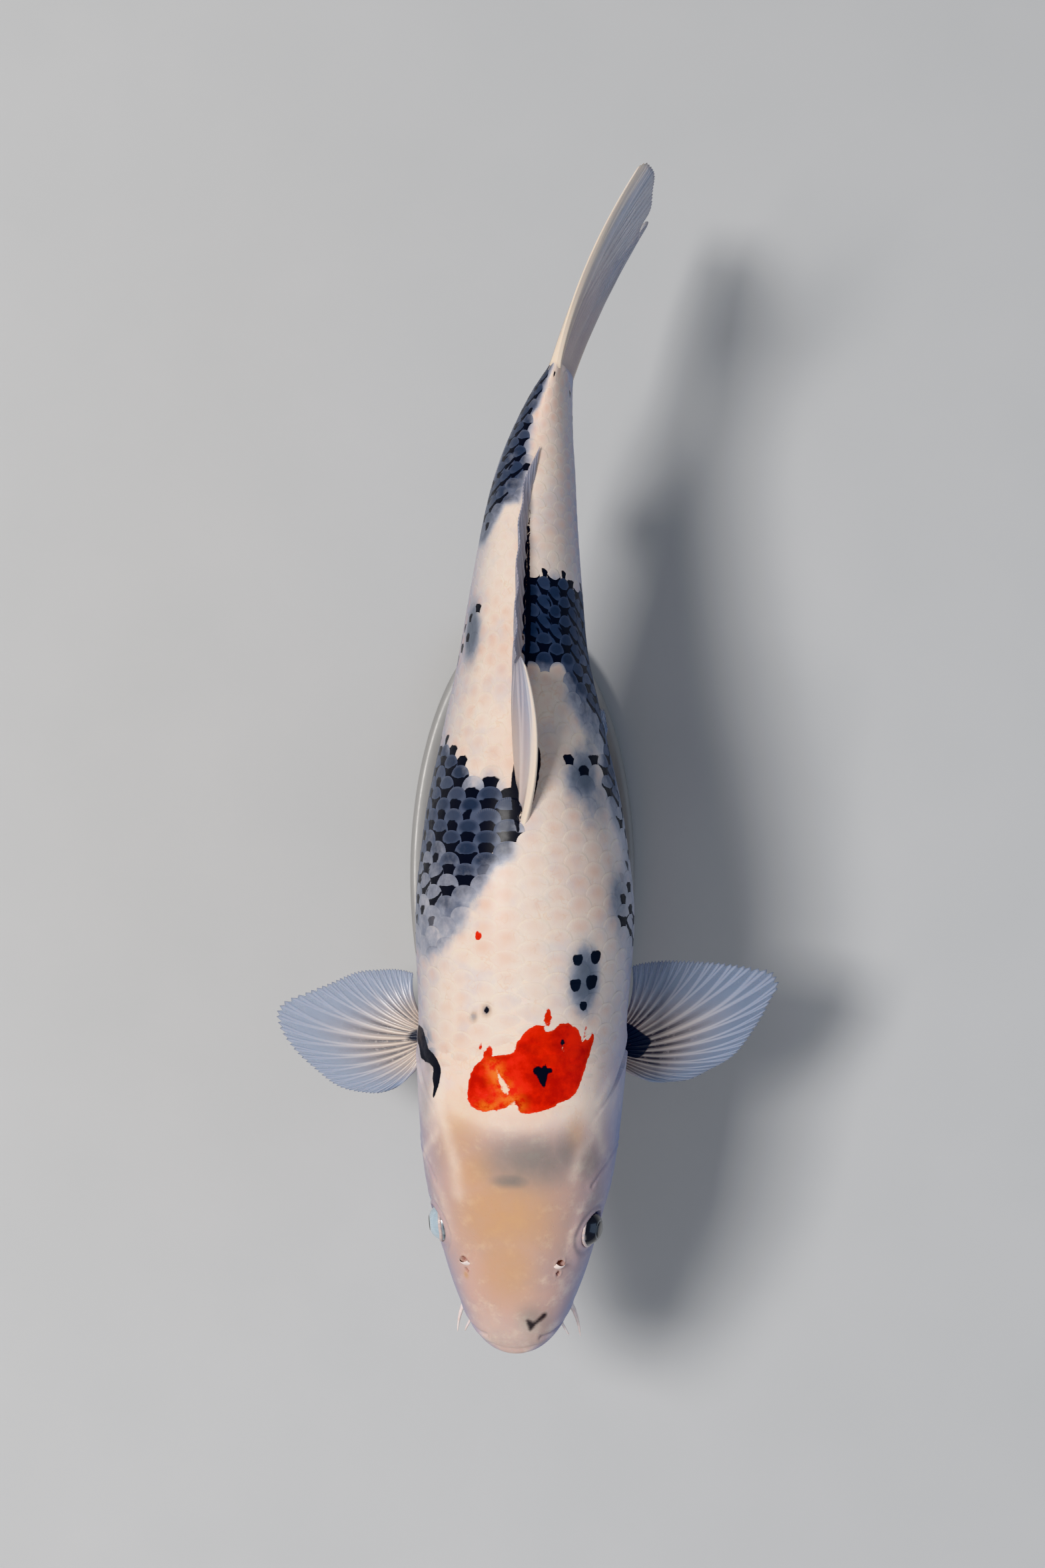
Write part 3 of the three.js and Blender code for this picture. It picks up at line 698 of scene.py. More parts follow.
def flesh_look(name, scaled):
    """Ivory skin with its markings; scaled adds the pattern inside each scale."""
    look = Look(name)
    haze, peach, painted_side_light = look.parts("tone")
    bone, ember, head = look.parts("relief")
    broad = look.noise(26, 4, 0.6)
    fine = look.noise(240, 3, 0.6)
    veins = look.noise(95, 5, 0.65)
    # the head's base tone, with painted shade
    base = look.blend(head, IVORY, HEAD_TONE_WITH_SHADE)
    colour = look.blend(look.band(broad, 0.40, 0.68, 0.0, 0.30), base, BLUSH)
    colour = look.blend(look.band(veins, 0.48, 0.74, 0.0, 0.45), colour, CREAM)
    blotch = look.band(look.noise(58, 3, 0.6), 0.46, 0.7, 0.0, 0.34) * (1.0 - head)
    colour = look.blend(blotch, colour, (0.52, 0.475, 0.53))
    threads = abs(look.noise(120, 2, 0.5) - 0.5)
    threads = look.band(threads, 0.022, 0.0) * look.band(veins, 0.4, 0.6)
    colour = look.blend(threads * (1.0 - head) * 0.3, colour, (0.72, 0.42, 0.26))
    # warm orange on the head, darkened with painted shade
    colour = look.blend(peach * look.band(veins, 0.25, 0.7, 0.8, 1.0), colour, PEACH_WITH_SHADE)
    # painted blue reflection and shade down the sides, stronger on the +X side
    colour = look.blend(painted_side_light * look.band(broad, 0.3, 0.7, 0.62, 0.95), colour, PAINTED_SIDE_BLUE)
    height = fine * 0.25
    rough = look.band(fine, 0.3, 0.7, 0.34, 0.46)
    if scaled:
        x, y, radius = look.parts("leaf")
        front, slate, seed = look.parts("stain")
        wobble = look.noise(330, 1.5, 0.5) - 0.5
        x2 = x * x
        y_off = y - 0.3
        centre = x2 * 3.4 + y_off * y_off * 4.2
        core = 2.718 ** (centre * -1.0)
        colour = look.blend(core * look.band(broad, 0.35, 0.7, 0.16, 0.56), colour, BLUSH)
        rim = look.band(radius, 0.7, 0.97) * look.band(y, -0.1, 0.4)
        colour = look.blend(rim * 0.3, colour, CREAM)
        # radial lines near the free edge of a few scales: a bump, and the mask of painted golden glints that
        # stand in for reflections
        angle = look.math("ARCTAN2", x * 1.2, y + 1.25)
        comb = look.band(look.math("SINE", angle * 74), -0.2, 0.9)
        painted_glint_chance = look.band(seed, 0.74, 0.82) * (1.0 - painted_side_light)
        painted_glint = comb * look.band(radius, 0.76, 0.94) * look.band(y, 0.3, 0.7) * painted_glint_chance
        low = y - 0.45
        dome_share = look.math("SQRT", x * x + low * low * 2.6)
        uneven = veins * 0.55 + broad * 0.3 + wobble * 0.2 - 0.425
        cloud = slate + uneven
        slate_tone = look.blend(look.band(dome_share, 0.45, 1.05), SLATE, SMOKE)
        slate_tone = look.blend(seed * 0.5, slate_tone, SMOKE)
        # the slate scales down the sides take painted blue reflection and shade too
        slate_tone = look.blend(painted_side_light * 0.7, slate_tone, (0.11, 0.14, 0.225))
        slate_tone = look.blend(look.band(front, 1.05, 1.35, 0.0, 0.6), slate_tone, (0.046, 0.060, 0.102))
        colour = look.blend(look.band(cloud, 0.04, 0.55, 0.0, 0.92), colour, (0.36, 0.365, 0.43))
        cloud = look.band(cloud, 0.34, 0.90)
        colour = look.blend(cloud, colour, slate_tone)
        # painted golden glints, fewer on slate scales
        painted_glint = painted_glint * (1.0 - slate * 0.85)
        colour = look.blend(painted_glint * 0.3, colour, (0.9, 0.76, 0.55))
        rise = y - look.band(front, 0.95, 1.35, 0.5, 0.36)
        by_flank, by_front = look.band(painted_side_light, 0.1, 0.9, 0.3, 0.5), look.band(front, 1.05, 1.35, 0.3, 0.95)
        slant = x + rise * look.math("MAXIMUM", by_flank, by_front)
        dome_x = slant / (look.band(front, 0.95, 1.35, 1.02, 0.6) + seed * 0.1)
        dome_y = rise / look.band(front, 0.95, 1.35, 0.42, 0.66)
        dome = look.math("SQRT", dome_x * dome_x + dome_y * dome_y)
        inner = 1.0 - dome + wobble * 0.45
        black = look.band(inner, 0.05, -0.05) * look.band(front, 0.06, 0.2)
        crest = y + x2 * look.band(front, 0.7, 1.1, 1.2, 0.0) + wobble * 0.4
        crest_low, crest_high = look.band(front, 0.9, 1.4, 0.22, 0.75), look.band(front, 0.9, 1.4, 0.06, 0.5)
        black = black * look.band(crest, crest_low, crest_high)
        inside = abs(slant) + wobble * 0.35
        edge_x = look.band(front, 0.5, 0.9, 0.42, 0.98)
        black = black * look.band(inside - edge_x, 0.08, -0.04)
        free_edge = look.band(radius, 0.86, 1.0) * look.band(y, -0.1, 0.3)
        height = height + comb * look.band(radius, 0.4, 0.9) * 0.06 + free_edge * -0.5
    else:
        colour = look.blend(look.value("pit") * 0.9, colour, (0.36, 0.17, 0.14))
        pores = look.band(look.cells(420), 0.05, 0.28)
        height = height + pores * 0.3 + veins * 0.4
    mist = haze * look.band(veins + fine * 0.3, 0.42, 0.8, 0.8, 1.0)
    colour = look.blend(mist, colour, look.blend(head, MIST, (0.20, 0.19, 0.18)))
    # pale bone lines, and the painted highlight along the back's ridge
    colour = look.blend(bone * look.band(veins, 0.3, 0.6, 0.55, 0.85), colour, (0.8, 0.68, 0.58))
    if scaled:
        colour = look.blend(black, colour, BLACK)
    edge = look.value("red") + (look.noise(330, 3, 0.6) - 0.5) * 2.4
    red_tone = look.blend(look.band(veins + broad * 0.5, 0.6, 0.95), RED, DEEP_RED)
    red_tone = look.blend(ember * look.band(look.noise(200, 4, 0.6), 0.38, 0.62), red_tone, ORANGE)
    red_tone = look.blend(look.band(look.value("red"), 0.0, 1.6, 0.30, 0.0), red_tone, (0.84, 0.055, 0.012))
    colour = look.blend(look.band(edge, -0.2, 0.3), colour, red_tone)
    gap = look.value("pale") + (look.noise(420, 3, 0.6) - 0.5) * 3.0
    colour = look.blend(look.band(gap, -0.3, 0.5), colour, (0.87, 0.66, 0.50))
    drawn = look.value("ink") + (look.noise(520, 3, 0.6) - 0.5) * 1.3
    soft = look.band(drawn, -1.2, 1.0) * 0.9
    dark = look.band(drawn, -0.3, 0.25) * (1.0 - head) + soft * head
    colour = look.blend(dark, colour, BLACK)
    if scaled:
        dark = look.math("MAXIMUM", dark, black)
    look.set(
        Base_Color=colour, Roughness=rough, Subsurface_Weight=(1.0 - dark) * 0.14,
        Subsurface_Radius=(1.0, 0.42, 0.24), Subsurface_Scale=0.003, Specular_IOR_Level=0.14,
        Coat_Weight=0.06, Coat_Roughness=0.16, Normal=look.bump(height, 0.35, 0.0005),
    )
    return look.material


SKIN_LOOK = flesh_look("koi_skin", False)
SCALE_LOOK = flesh_look("koi_scales", True)

# ---------------------------------------------------------------- skin

SCALE_START = through(
    (0, 127), (20, 126), (38, 126), (50, 127), (60, 134), (70, 143), (92, 153), (112, 150), (128, 142),
    (140, 133), (150, 122), (162, 112), (180, 108),
)
COVER_EDGE = [
    (114, 42), (120, 50), (135, 68), (145, 82), (148.5, 92), (147.5, 106), (143, 120), (135.5, 131),
    (127, 138), (108, 150), (88, 159), (66, 167), (48, 173),
]
PRE_COVER = [(86, 52), (94, 62), (101, 76), (104, 92), (101, 108), (94, 122), (84, 134), (72, 144)]
SUB_COVER = [(104, 112), (120, 121), (134, 128)]
LIP_FOLD = [(24, 112), (18.5, 92), (13.5, 76), (10, 58), (9, 44)]
CHEEK_LINE = [(26, 100), (40, 106), (56, 112), (72, 110), (84, 98), (88, 84)]
BROW = [(48, 58), (56, 50), (66, 47), (77, 50), (84, 58)]
SHOULDER_GIRDLE = [(126, 52), (141, 66), (153, 82), (156, 98), (152, 116), (144, 130)]
NOSTRIL_HOLES = ((-0.62, 1.3, 1.5), (0.50, 2.1, 2.4))  # place along the pair, radius, depth
MOUTH = {"side": 18.8, "corner": -18.0, "front": -10.5}


def mouth_line():
    """The closed mouth as (side, s, height) points lying on the body's surface."""
    turn = np.linspace(-88, 88, 45) * DEG
    side = MOUTH["side"] * np.sin(turn)
    height = mix(MOUTH["front"], MOUTH["corner"], 1 - np.cos(turn))
    low, high = np.full(len(turn), 0.001), np.full(len(turn), 40.0)
    for _ in range(30):
        s = (low + high) / 2
        at = along(s)
        reach = np.clip(np.abs(MIDDLE(at) - height) / np.maximum(MIDDLE(at) - BOTTOM(at), 1e-6), 0, 1)
        beyond = HALF(at) * (1 - reach ** KEEL(at)) ** (1 / KEEL(at)) >= np.abs(side)
        low, high = np.where(beyond, low, s), np.where(beyond, s, high)
    return np.stack([side, s, height], -1)


def eye_frame(sign):
    """Centre and outward axis of an eye, in millimetres."""
    centre = place_rolled(EYE["s"], sign * EYE["side"], EYE["up"])
    outer = place_rolled(EYE["s"] - 1.0, sign * (EYE["side"] + 9.0), EYE["up"] + (2.6 if sign > 0 else 0.9))
    axis = outer - centre
    return centre, axis / np.linalg.norm(axis)


def skin_relief(s, t, point, normal):
    """Moves the smooth body's points to give lips, eye rims, gill covers, nostrils and folds."""
    deg = t / DEG
    move = np.zeros(s.shape)
    side, height = section(s, t)
    near = s < 60
    local = np.stack([side, s, height], -1)
    line = mouth_line()
    gap = np.full(s.shape, 99.0)
    gap[near] = distance_to(local[near], line, False)[0]
    level = np.interp(side, line[:, 0], line[:, 2])
    above = height > level
    taper = mix(1.0, 0.55, ease(np.abs(side), 8, 19))
    move += taper * np.where(above, 0.95 * bell(gap - 3.3, 2.3), 1.15 * bell(gap - 3.0, 1.8))
    move -= 2.6 * bell(gap, 0.85) * mix(1, 0.6, ease(np.abs(side), 14, 20))
    move -= taper * np.where(above, 0.22, 0.5) * bell(gap - 7.2, 1.1)
    for sign in (-1, 1):
        one_side, here = wrap(s, sign * deg), sign * deg > 0
        fold = route_gap(one_side, LIP_FOLD, True)
        move += (0.5 * bell(fold - 2.6, 2.0) - 1.0 * bell(fold, 0.9)) * (side * sign > 0)
        move -= 0.30 * bell(route_gap(one_side, CHEEK_LINE, True), 1.1) * (side * sign > 0)
        rear = route_gap(one_side, COVER_EDGE, True)
        edge_s = np.interp(sign * deg, [p[1] for p in COVER_EDGE], [p[0] for p in COVER_EDGE])
        low_part = ease(sign * deg, 135, 172)
        behind = np.where(s > edge_s, rear, -rear)
        strength = mix(0.25, 1, ease(sign * deg, 56, 84)) * ease(sign * deg, 40, 56) * mix(1, 0.45, low_part)
        raised, cut = 0.85 * np.exp(behind / 9) * ease(-behind, -0.2, 0.8), -1.5 * np.exp(-behind / 1.6)
        move += np.where(behind < 0, raised, cut) * strength * (np.abs(behind) < 30)
        ridge = route_gap(one_side, PRE_COVER, True)
        move += (0.35 * bell(ridge - 1.6, 1.6) - 0.6 * bell(ridge, 0.8)) * here
        move -= 0.3 * bell(route_gap(one_side, SUB_COVER), 0.7) * here
        move += 0.55 * bell(route_gap(one_side, BROW, True), 3.2) * here
        move += 0.35 * bell(route_gap(one_side, SHOULDER_GIRDLE, True), 2.4) * here
    move -= 0.28 * bell(s - SCALE_START(np.abs(deg)) + 3.5, 2.0) * (s > 100)
    shift = point + normal * move[..., None]
    pit = np.zeros(s.shape)
    for sign in (-1, 1):
        for back, radius, depth in NOSTRIL_HOLES:
            hole, out = body_with_normal(NOSTRIL_S + back * NOSTRIL_APART, sign * NOSTRIL_T * DEG)
            away = np.linalg.norm(point - hole, axis=-1)
            shift -= out * (depth * ease(-away, -radius, -radius * 0.55))[..., None]
            shift += normal * (0.38 * bell(away - radius - 0.35, 0.55))[..., None]
            pit = np.maximum(pit, ease(-away, -radius, -radius * 0.7))
        centre, axis = eye_frame(sign)
        off = point - centre
        depth = off @ axis
        radius = np.linalg.norm(off - depth[..., None] * axis, axis=-1)
        facing = (depth > -2) & (radius < 24)
        swell = (
            0.8 * bell(radius - 9.6, 1.2) - 0.45 * bell(radius - 12.0, 1.2)
            + 0.35 * bell(radius - 14.6, 1.8)
        )
        shift += axis * (facing * swell)[..., None]
        sink = facing * ease(-radius, -8.9, -7.9)
        shift -= axis * (sink * np.maximum(depth + 1.5, 0))[..., None]
    return shift, pit


def build_skin():
    snout = 0.12 + 9.0 * (np.arange(26) / 26) ** 1.7
    rings = np.concatenate([snout, np.arange(9.12, 158, 0.86), np.arange(158, BODY_LENGTH, 3.2), [BODY_LENGTH]])
    around, count = 336, len(rings)
    t = -math.pi + np.arange(around) / around * 2 * math.pi
    s, t = np.meshgrid(rings, t, indexing="ij")
    covered = ease(s - SCALE_START(np.abs(t) / DEG), -2, 9)
    point, normal = body_with_normal(s, t, SCALE_BED * covered)
    point, pit = skin_relief(s, t, point, normal)
    ends = place_rolled(0.0, 0.0, -9.0), place_rolled(BODY_LENGTH, 0.0, 1.0)
    points = np.vstack([point.reshape(-1, 3), *[end[None] for end in ends]])
    nose = count * around
    share = np.arange(count) / (count - 1) * 0.98 + 0.01

    def unwrap(loops, sizes):
        on_ring = share[np.minimum(loops // around, count - 1)]
        v = np.where(loops < nose, on_ring, np.where(loops == nose, 0.002, 0.998))
        return np.stack([turn_share(loops, sizes, around, nose) * 0.998 + 0.001, v], -1)

    flat_s = np.append(s.ravel(), [0.0, BODY_LENGTH])
    flat_t = np.append(t.ravel(), [0.0, 0.0]) / DEG
    values = marks(flat_s, flat_t)
    smoke = 1.25 * ease(slate_share(flat_s, flat_t), 0.6, 1.0)
    values["tone"][:, 0] = np.maximum(values["tone"][:, 0], smoke)
    values["pit"] = np.append(pit.ravel(), [0.0, 0.0])
    head = ["head", "upper_lip", "lower_lip", "gill_cover_left", "gill_cover_right"]
    rest = ["trunk_front", "trunk_middle", "trunk_rear", "tail_stem"]
    make("koi_skin", points, capped(count, around), SKIN_LOOK, unwrap, values, head + rest)


# ---------------------------------------------------------------- scales

PITCH = through((100, 8.3), (118, 8.5), (160, 9.6), (250, 10.2), (340, 9.3), (440, 7.6), (480, 7))
ACROSS, LENGTHWISE = 11, 10  # points in a scale
FORE_END, MID_END = 219, 322  # where the coat is cut into pieces
PATCH = (0.90, 0.88)  # a scale's part of the row's width and of the pitch in the map


def scale_roots():
    """Where each scale sits: s, t in degrees, row, the pitch there and the number of rows round the body."""
    s = np.linspace(96, 480, 1921)
    phase = np.concatenate([[0], np.cumsum(np.diff(s) / PITCH((s[1:] + s[:-1]) / 2))])
    roots = []
    for rows, start, end in ((ROWS, 96.0, TAIL_FROM + 2), (TAIL_ROWS, TAIL_FROM - 1, 480.0)):
        for row in range(-rows // 2, rows // 2):
            turn = (row + 0.5) * 360 / rows
            t = turn + 0.03 / DEG * math.sin(2 * turn * DEG)
            for k in range(int(phase[-1])):
                at = float(np.interp(k + 0.5 * (row % 2), phase, s))
                first = max(start, float(SCALE_START(abs(t))) + 1.0)
                last = min(end, 474.5 - 5.0 * float(bell(abs(t) - 90, 40)))
                if first < at < last:
                    roots.append((at, t, row, float(PITCH(at)), rows))
    return roots


def build_scales():
    roots = scale_roots()
    u, v = np.meshgrid(np.linspace(-1, 1, ACROSS), np.linspace(-1, 1, LENGTHWISE), indexing="xy")
    x, y = u * np.sqrt(1 - v * v / 2), v * np.sqrt(1 - u * u / 2)
    radius = np.hypot(x, y)
    bulge = radius / np.maximum((np.abs(x) ** 2.2 + np.abs(y) ** 2.2) ** (1 / 2.2), 1e-6)
    x, y = x * bulge, y * bulge
    pattern = two_faced(LENGTHWISE, ACROSS)
    deep = lambda value: value[:, None, None]
    at, t, row, pitch, rows = (np.array(column) for column in zip(*roots))
    seed = rng.random((len(roots), 4))
    step = 360 / rows
    half = step * (0.71 + 0.03 * (seed[:, 0] - 0.5) + 0.08 * (rows == TAIL_ROWS))
    tilt = (seed[:, 1] - 0.5) * 0.05
    s = deep(at) + deep(pitch) * (0.15 + 0.6 * y) + deep(tilt) * x * 6
    around = deep(t) + deep(half) * x
    edge = s - SCALE_START(np.abs(around))
    buried = 0.24 * (1 - ease(edge, 0, 40)) + 0.10 * bell(around, 8) * (1 - ease(deep(at), 150, 230))
    lift = mix(-0.13, 0.13, (y + 1) / 2) + 0.05 * (1 - x * x) + (deep(seed[:, 2]) - 0.5) * 0.02
    thin = mix(0.85, 0.7, ease(deep(at), 330, 400))
    top = lift * thin + 0.07 * (1 - 0.8 * radius**8) - buried
    under = lift * thin - 0.02 - buried
    point, normal = body_with_normal(s, around * DEG, SCALE_BED)
    points = np.stack([point + normal * top[..., None], point + normal * under[..., None]], 1)
    normals = np.stack([normal, -normal], 1)
    ragged = ease(np.abs(t), 72, 92)
    front = black_share(at + 14 * ragged * (seed[:, 2] - 0.5), t + 22 * ragged * (seed[:, 1] - 0.5))
    slate = slate_share(mix(s, deep(at), 0.7) + 1.5, mix(around, deep(t), 0.5))
    reach = 8.0 - 7.5 * ease(s, 312, 322) * ease(around, -2, 4) * (1 - ease(around, 30, 46))
    slate = np.maximum(slate, 0.80 * slate_share(s + reach, around))
    slate = np.maximum(slate, 0.95 * haze_field(s, around))
    front = np.where(front > 0.05, np.clip(front * (0.70 + 0.55 * seed[:, 3]), 0, 1.7), 0)
    front = np.where((seed[:, 2] < 0.05) & (t < 0), front * 0.4, front)
    strength = np.where(seed[:, 2] < 0.07, 0.86, 0.97 + 0.2 * seed[:, 1])
    slate = np.clip(slate * deep(strength), 0, 1)
    tail = rows == TAIL_ROWS
    pieces = {
        "fore": at < FORE_END,
        "mid": (at >= FORE_END) & (at < MID_END),
        "rear": (at >= MID_END) & ~tail,
        "tail": tail,
    }
    for name, chosen in pieces.items():
        index = np.flatnonzero(chosen)
        n = len(index)
        faces = (pattern[None] + deep(np.arange(n) * x.size * 2)).reshape(-1, 4)
        low, high = at[index].min() - 8, at[index].max() + 8
        cell_u, cell_v = PATCH[0] / rows[index][0], PATCH[1] * pitch[index] / (high - low)
        mid_u = (row[index] + rows[index] // 2 + 0.5) / rows[index]
        mid_v = (at[index] - low) / (high - low)
        uv = np.zeros((n, 2, LENGTHWISE, ACROSS, 2))
        for face, (tall, up) in enumerate(((0.44, 0.06), (0.03, -0.45))):
            uv[:, face, ..., 0] = deep(mid_u) + cell_u / 2 * u
            uv[:, face, ..., 1] = deep(mid_v) + deep(cell_v) * (tall * v + up)
        both = lambda value: np.broadcast_to(value, (n, 2, LENGTHWISE, ACROSS)).reshape(-1)
        per_scale = lambda value: both(value[index][:, None, None, None])
        values = marks(both(s[index][:, None]), both(around[index][:, None]))
        outward = both(np.sign(t[index])[:, None, None, None] * x)
        values["leaf"] = np.stack([outward, both(y), both(radius)], -1)
        values["stain"] = np.stack([per_scale(front), both(slate[index][:, None]), per_scale(seed[:, 2])], -1)
        mapped = uv.reshape(-1, 2)
        make(
            f"koi_scales_{name}", points[index], [faces], SCALE_LOOK, mapped, values,
            normals=normals[index],
        )
    return len(roots)


# ---------------------------------------------------------------- fins


def fin_look():
    """Soft rays that fork toward the edge, joined by a thin clear membrane."""
    look = Look("koi_fin")
    u, cell, warm = look.parts("blade")
    stain, clear, _ = look.parts("tone")
    folded = abs(look.math("FRACT", cell) - 0.5)
    folded = abs(folded - look.band(u, 0.3, 1.0, 0, 0.25))
    folded = abs(folded - look.band(u, 0.62, 1.15, 0, 0.125))
    ray = look.band(folded, look.band(u, 0.0, 1.0, 0.30, 0.10), 0.02)
    broad = look.noise(40, 4, 0.6)
    fine = look.noise(300, 4, 0.6)
    joints = look.band(look.math("SINE", u * 210), -0.9, -0.3)
    # toward the tips the membrane and rays turn blue-grey: painted blue water light
    membrane = look.blend(look.band(u, 0.15, 0.85), (0.50, 0.42, 0.39), (0.25, 0.32, 0.46))
    bone = look.blend(look.band(u, 0.1, 0.9), (0.68, 0.59, 0.51), (0.40, 0.43, 0.52))
    bone = look.blend((1.0 - joints) * 0.25, bone, (0.55, 0.48, 0.48))
    colour = look.blend(ray * 0.68, membrane, bone)
    colour = look.blend(warm * look.band(broad, 0.3, 0.7, 0.8, 1.0), colour, (0.76, 0.64, 0.52))
    number = look.math("FLOOR", cell + 0.5)
    lot = look.add("ShaderNodeTexWhiteNoise", {"W": number}, noise_dimensions="1D").outputs[0]
    off_ray = abs(look.math("FRACT", cell + 0.5) - 0.5)
    between = look.band(off_ray, 0.26, 0.10)
    line = between * look.band(lot, 0.15, 0.6) * look.band(fine, 0.25, 0.5)
    solid = look.band(stain, 0.8, 1.05)
    streak = look.math("MAXIMUM", stain * line, solid * look.band(fine, 0.18, 0.3))
    orange, mauve, _ = look.parts("hue")
    colour = look.blend(orange * look.band(broad, 0.3, 0.7, 0.4, 0.8), colour, (0.74, 0.47, 0.25))
    colour = look.blend(mauve * look.band(broad, 0.3, 0.7, 0.5, 0.9), colour, (0.45, 0.38, 0.41))
    colour = look.blend(look.math("MINIMUM", streak, 1.0), colour, (0.022, 0.026, 0.045))
    sheer = clear * (1.0 - ray * 0.75) * look.band(u, 0.05, 0.95, 0.25, 1.0)
    sheer = sheer * (1.0 - look.math("MINIMUM", streak, 1.0))
    height = ray * 0.6 + fine * 0.2 + joints * 0.08
    look.set(
        Base_Color=colour, Roughness=look.band(fine, 0.2, 0.8, 0.32, 0.45), Alpha=1.0 - sheer,
        Subsurface_Weight=0.12, Subsurface_Radius=(1.0, 0.5, 0.35), Subsurface_Scale=0.002, Coat_Weight=0.3,
        Coat_Roughness=0.14, Normal=look.bump(height, 0.4, 0.0004),
    )
    return look.material


FIN_LOOK = fin_look()


def ray_relief(u, cell):
    """Height of the forking rays above the membrane, 0 to 1."""
    folded = np.abs(cell - np.floor(cell) - 0.5)
    folded = np.abs(folded - 0.25 * ease(u, 0.30, 1.0))
    folded = np.abs(folded - 0.125 * ease(u, 0.62, 1.15))
    return bell(folded, mix(0.24, 0.085, u))


PER_RAY = 8  # points across a ray
FIN_WAVE = 0.6  # how far a fin's free edge waves to either side


def make_fin(
    name, outline, replaces, tone, hue=None, *, rays, across, root_thick, tip_thick, spine=0.0, frill,
):
    """A fin with two faces. outline(u, v) gives its middle surface, u from root to tip, v over the rays."""
    columns = rays * PER_RAY + 1
    u, v = np.meshgrid(np.linspace(0, 1, across) ** 0.9, np.linspace(0, 1, columns), indexing="ij")
    cell = v * rays
    crest = ray_relief(u, cell)
    shrink = 1 - frill * (1 - ray_relief(np.ones_like(u), cell)) * u**6
    point = outline(u * shrink, v)
    along_u = outline(np.clip(u + 0.01, 0, 1), v) - outline(np.clip(u - 0.01, 0, 1), v)
    along_v = outline(u, np.clip(v + 0.01, 0, 1)) - outline(u, np.clip(v - 0.01, 0, 1))
    normal = np.cross(along_u, along_v)
    normal /= np.maximum(np.linalg.norm(normal, axis=-1), 1e-9)[..., None]
    rim = np.minimum(ease(v, -0.004, 0.012), ease(1 - v, -0.004, 0.012)) * ease(1 - u, -0.004, 0.02)
    thick = mix(root_thick, tip_thick, np.sqrt(u)) / 2
    thick = thick * mix(0.42, 1.0, crest) * mix(0.35, 1.0, rim)
    thick = thick + spine * bell(v, 0.035) * (1 - u * 0.7)
    ripple = FIN_WAVE * np.sin(cell * 2.1 + u * 3) * u**3 * np.minimum(ease(v, 0, 0.2), ease(1 - v, 0, 0.2))
    point = point + normal * ripple[..., None]
    points = np.stack([point + normal * thick[..., None], point - normal * thick[..., None]]).reshape(-1, 3)
    warm, stain, clear = tone(u, v)
    mapped_u = np.concatenate([0.01 + 0.48 * v.ravel(), 0.51 + 0.48 * v.ravel()])
    uv = np.stack([mapped_u, np.tile(0.01 + 0.98 * u.ravel(), 2)], -1)
    orange, mauve = hue(u, v) if hue else (0, 0)
    spread = lambda *parts: np.stack([np.tile((part + 0 * u).ravel(), 2) for part in parts], -1)
    values = {"hue": spread(orange, mauve, 0), "blade": spread(u, cell, warm)}
    values["tone"] = spread(stain, clear, 0)
    make(name, points, [two_faced(across, columns)], FIN_LOOK, uv, values, replaces)


def swept(root, tip, bow):
    """A fin surface from its root line to its tip line, bowed between."""

    def surface(u, v):
        rise = np.asarray(u)[..., None]
        return mix(root(v), tip(v), rise) + bow(v) * 4 * rise * (1 - rise)

    return surface


def vector(*parts):
    return np.stack(np.broadcast_arrays(*[np.asarray(p, float) for p in parts]), -1)


def slope_angle(curve, s):
    return np.arctan((curve(along(s + 1)) - curve(along(s - 1))) / 2)


def build_dorsal():
    length = through((0, 80), (0.05, 76), (0.12, 60), (0.3, 43), (0.6, 33), (1, 20))
    rise = through((0, 22), (0.1, 25), (0.3, 28), (0.7, 24), (1, 14))
    lean = through((0, 1), (0.06, -1.5), (0.15, -4), (0.6, -4), (0.85, -3), (1, 2))
    bend = through((0, 6.5), (0.05, 3.5), (0.12, -2.2), (0.35, -2.0), (1, 0))
    at = lambda v: mix(250.0, 412.0, v)

    def tip(v):
        s, far = at(v), length(v) + 5
        lift = rise(v) * DEG + slope_angle(TOP, s)
        return place_rolled(s + far * np.cos(lift), lean(v), TOP(along(s)) - 5 + far * np.sin(lift))

    root = lambda v: place_rolled(at(v), 0.0, TOP(along(at(v))) - 5)
    tone = lambda u, v: (
        np.clip(0.95 * bell(v, 0.028) + 0.25 * bell(v - 0.10, 0.02), 0, 1),
        0.55 * (1 - ease(u, 0.06, 0.16)) * ease(v, 0.03, 0.1)
        + 0.8 * bell(v - 0.045, 0.012) * bell(u - 0.35, 0.4),
        0.40 * ease(v, 0.03, 0.09),
    )
    glow = lambda u, v: bell(v - 0.20, 0.10) * bell(u - 0.45, 0.45)
    hue = lambda u, v: (glow(u, v), 0.62 * ease(v, 0.025, 0.06) * (1 - 0.85 * glow(u, v)))
    surface = swept(root, tip, lambda v: vector(bend(v), 0, mix(3.0, 1.0, v)))
    sizes = {"rays": 20, "across": 44, "root_thick": 3.4, "tip_thick": 0.95, "spine": 0.9, "frill": 0.008}
    make_fin("koi_dorsal_fin", surface, ["dorsal_fin"], tone, hue, **sizes)


def build_paired(name, sign, hinge, reach, tone, *, turns, slope, fall, root_length, curl, root_thick, rays):
    middle = place_rolled(hinge[0], sign * hinge[1], hinge[2])
    reach = through(*reach)

    def ray(v):
        turn = mix(*turns, v)
        out = np.cos(turn * DEG) * reach(turn)
        back = np.sin(turn * DEG) * reach(turn)
        return vector(out * sign, back, -out * slope - back * fall)

    root = lambda v: middle + vector(-4 * sign, root_length * (v - 0.5), 3 * (0.5 - v))

    def bow(v):
        r = ray(v)
        return vector(r[..., 1] * sign * 0.07, -r[..., 0] * sign * 0.07, curl * (1 - 0.5 * v))

    surface = swept(root, lambda v: middle + ray(v), bow)
    sizes = {"rays": rays, "across": 44, "root_thick": root_thick, "tip_thick": 0.95}
    sizes.update(spine=0.5, frill=0.035)
    make_fin(f"koi_{name}", surface, [name], tone, **sizes)


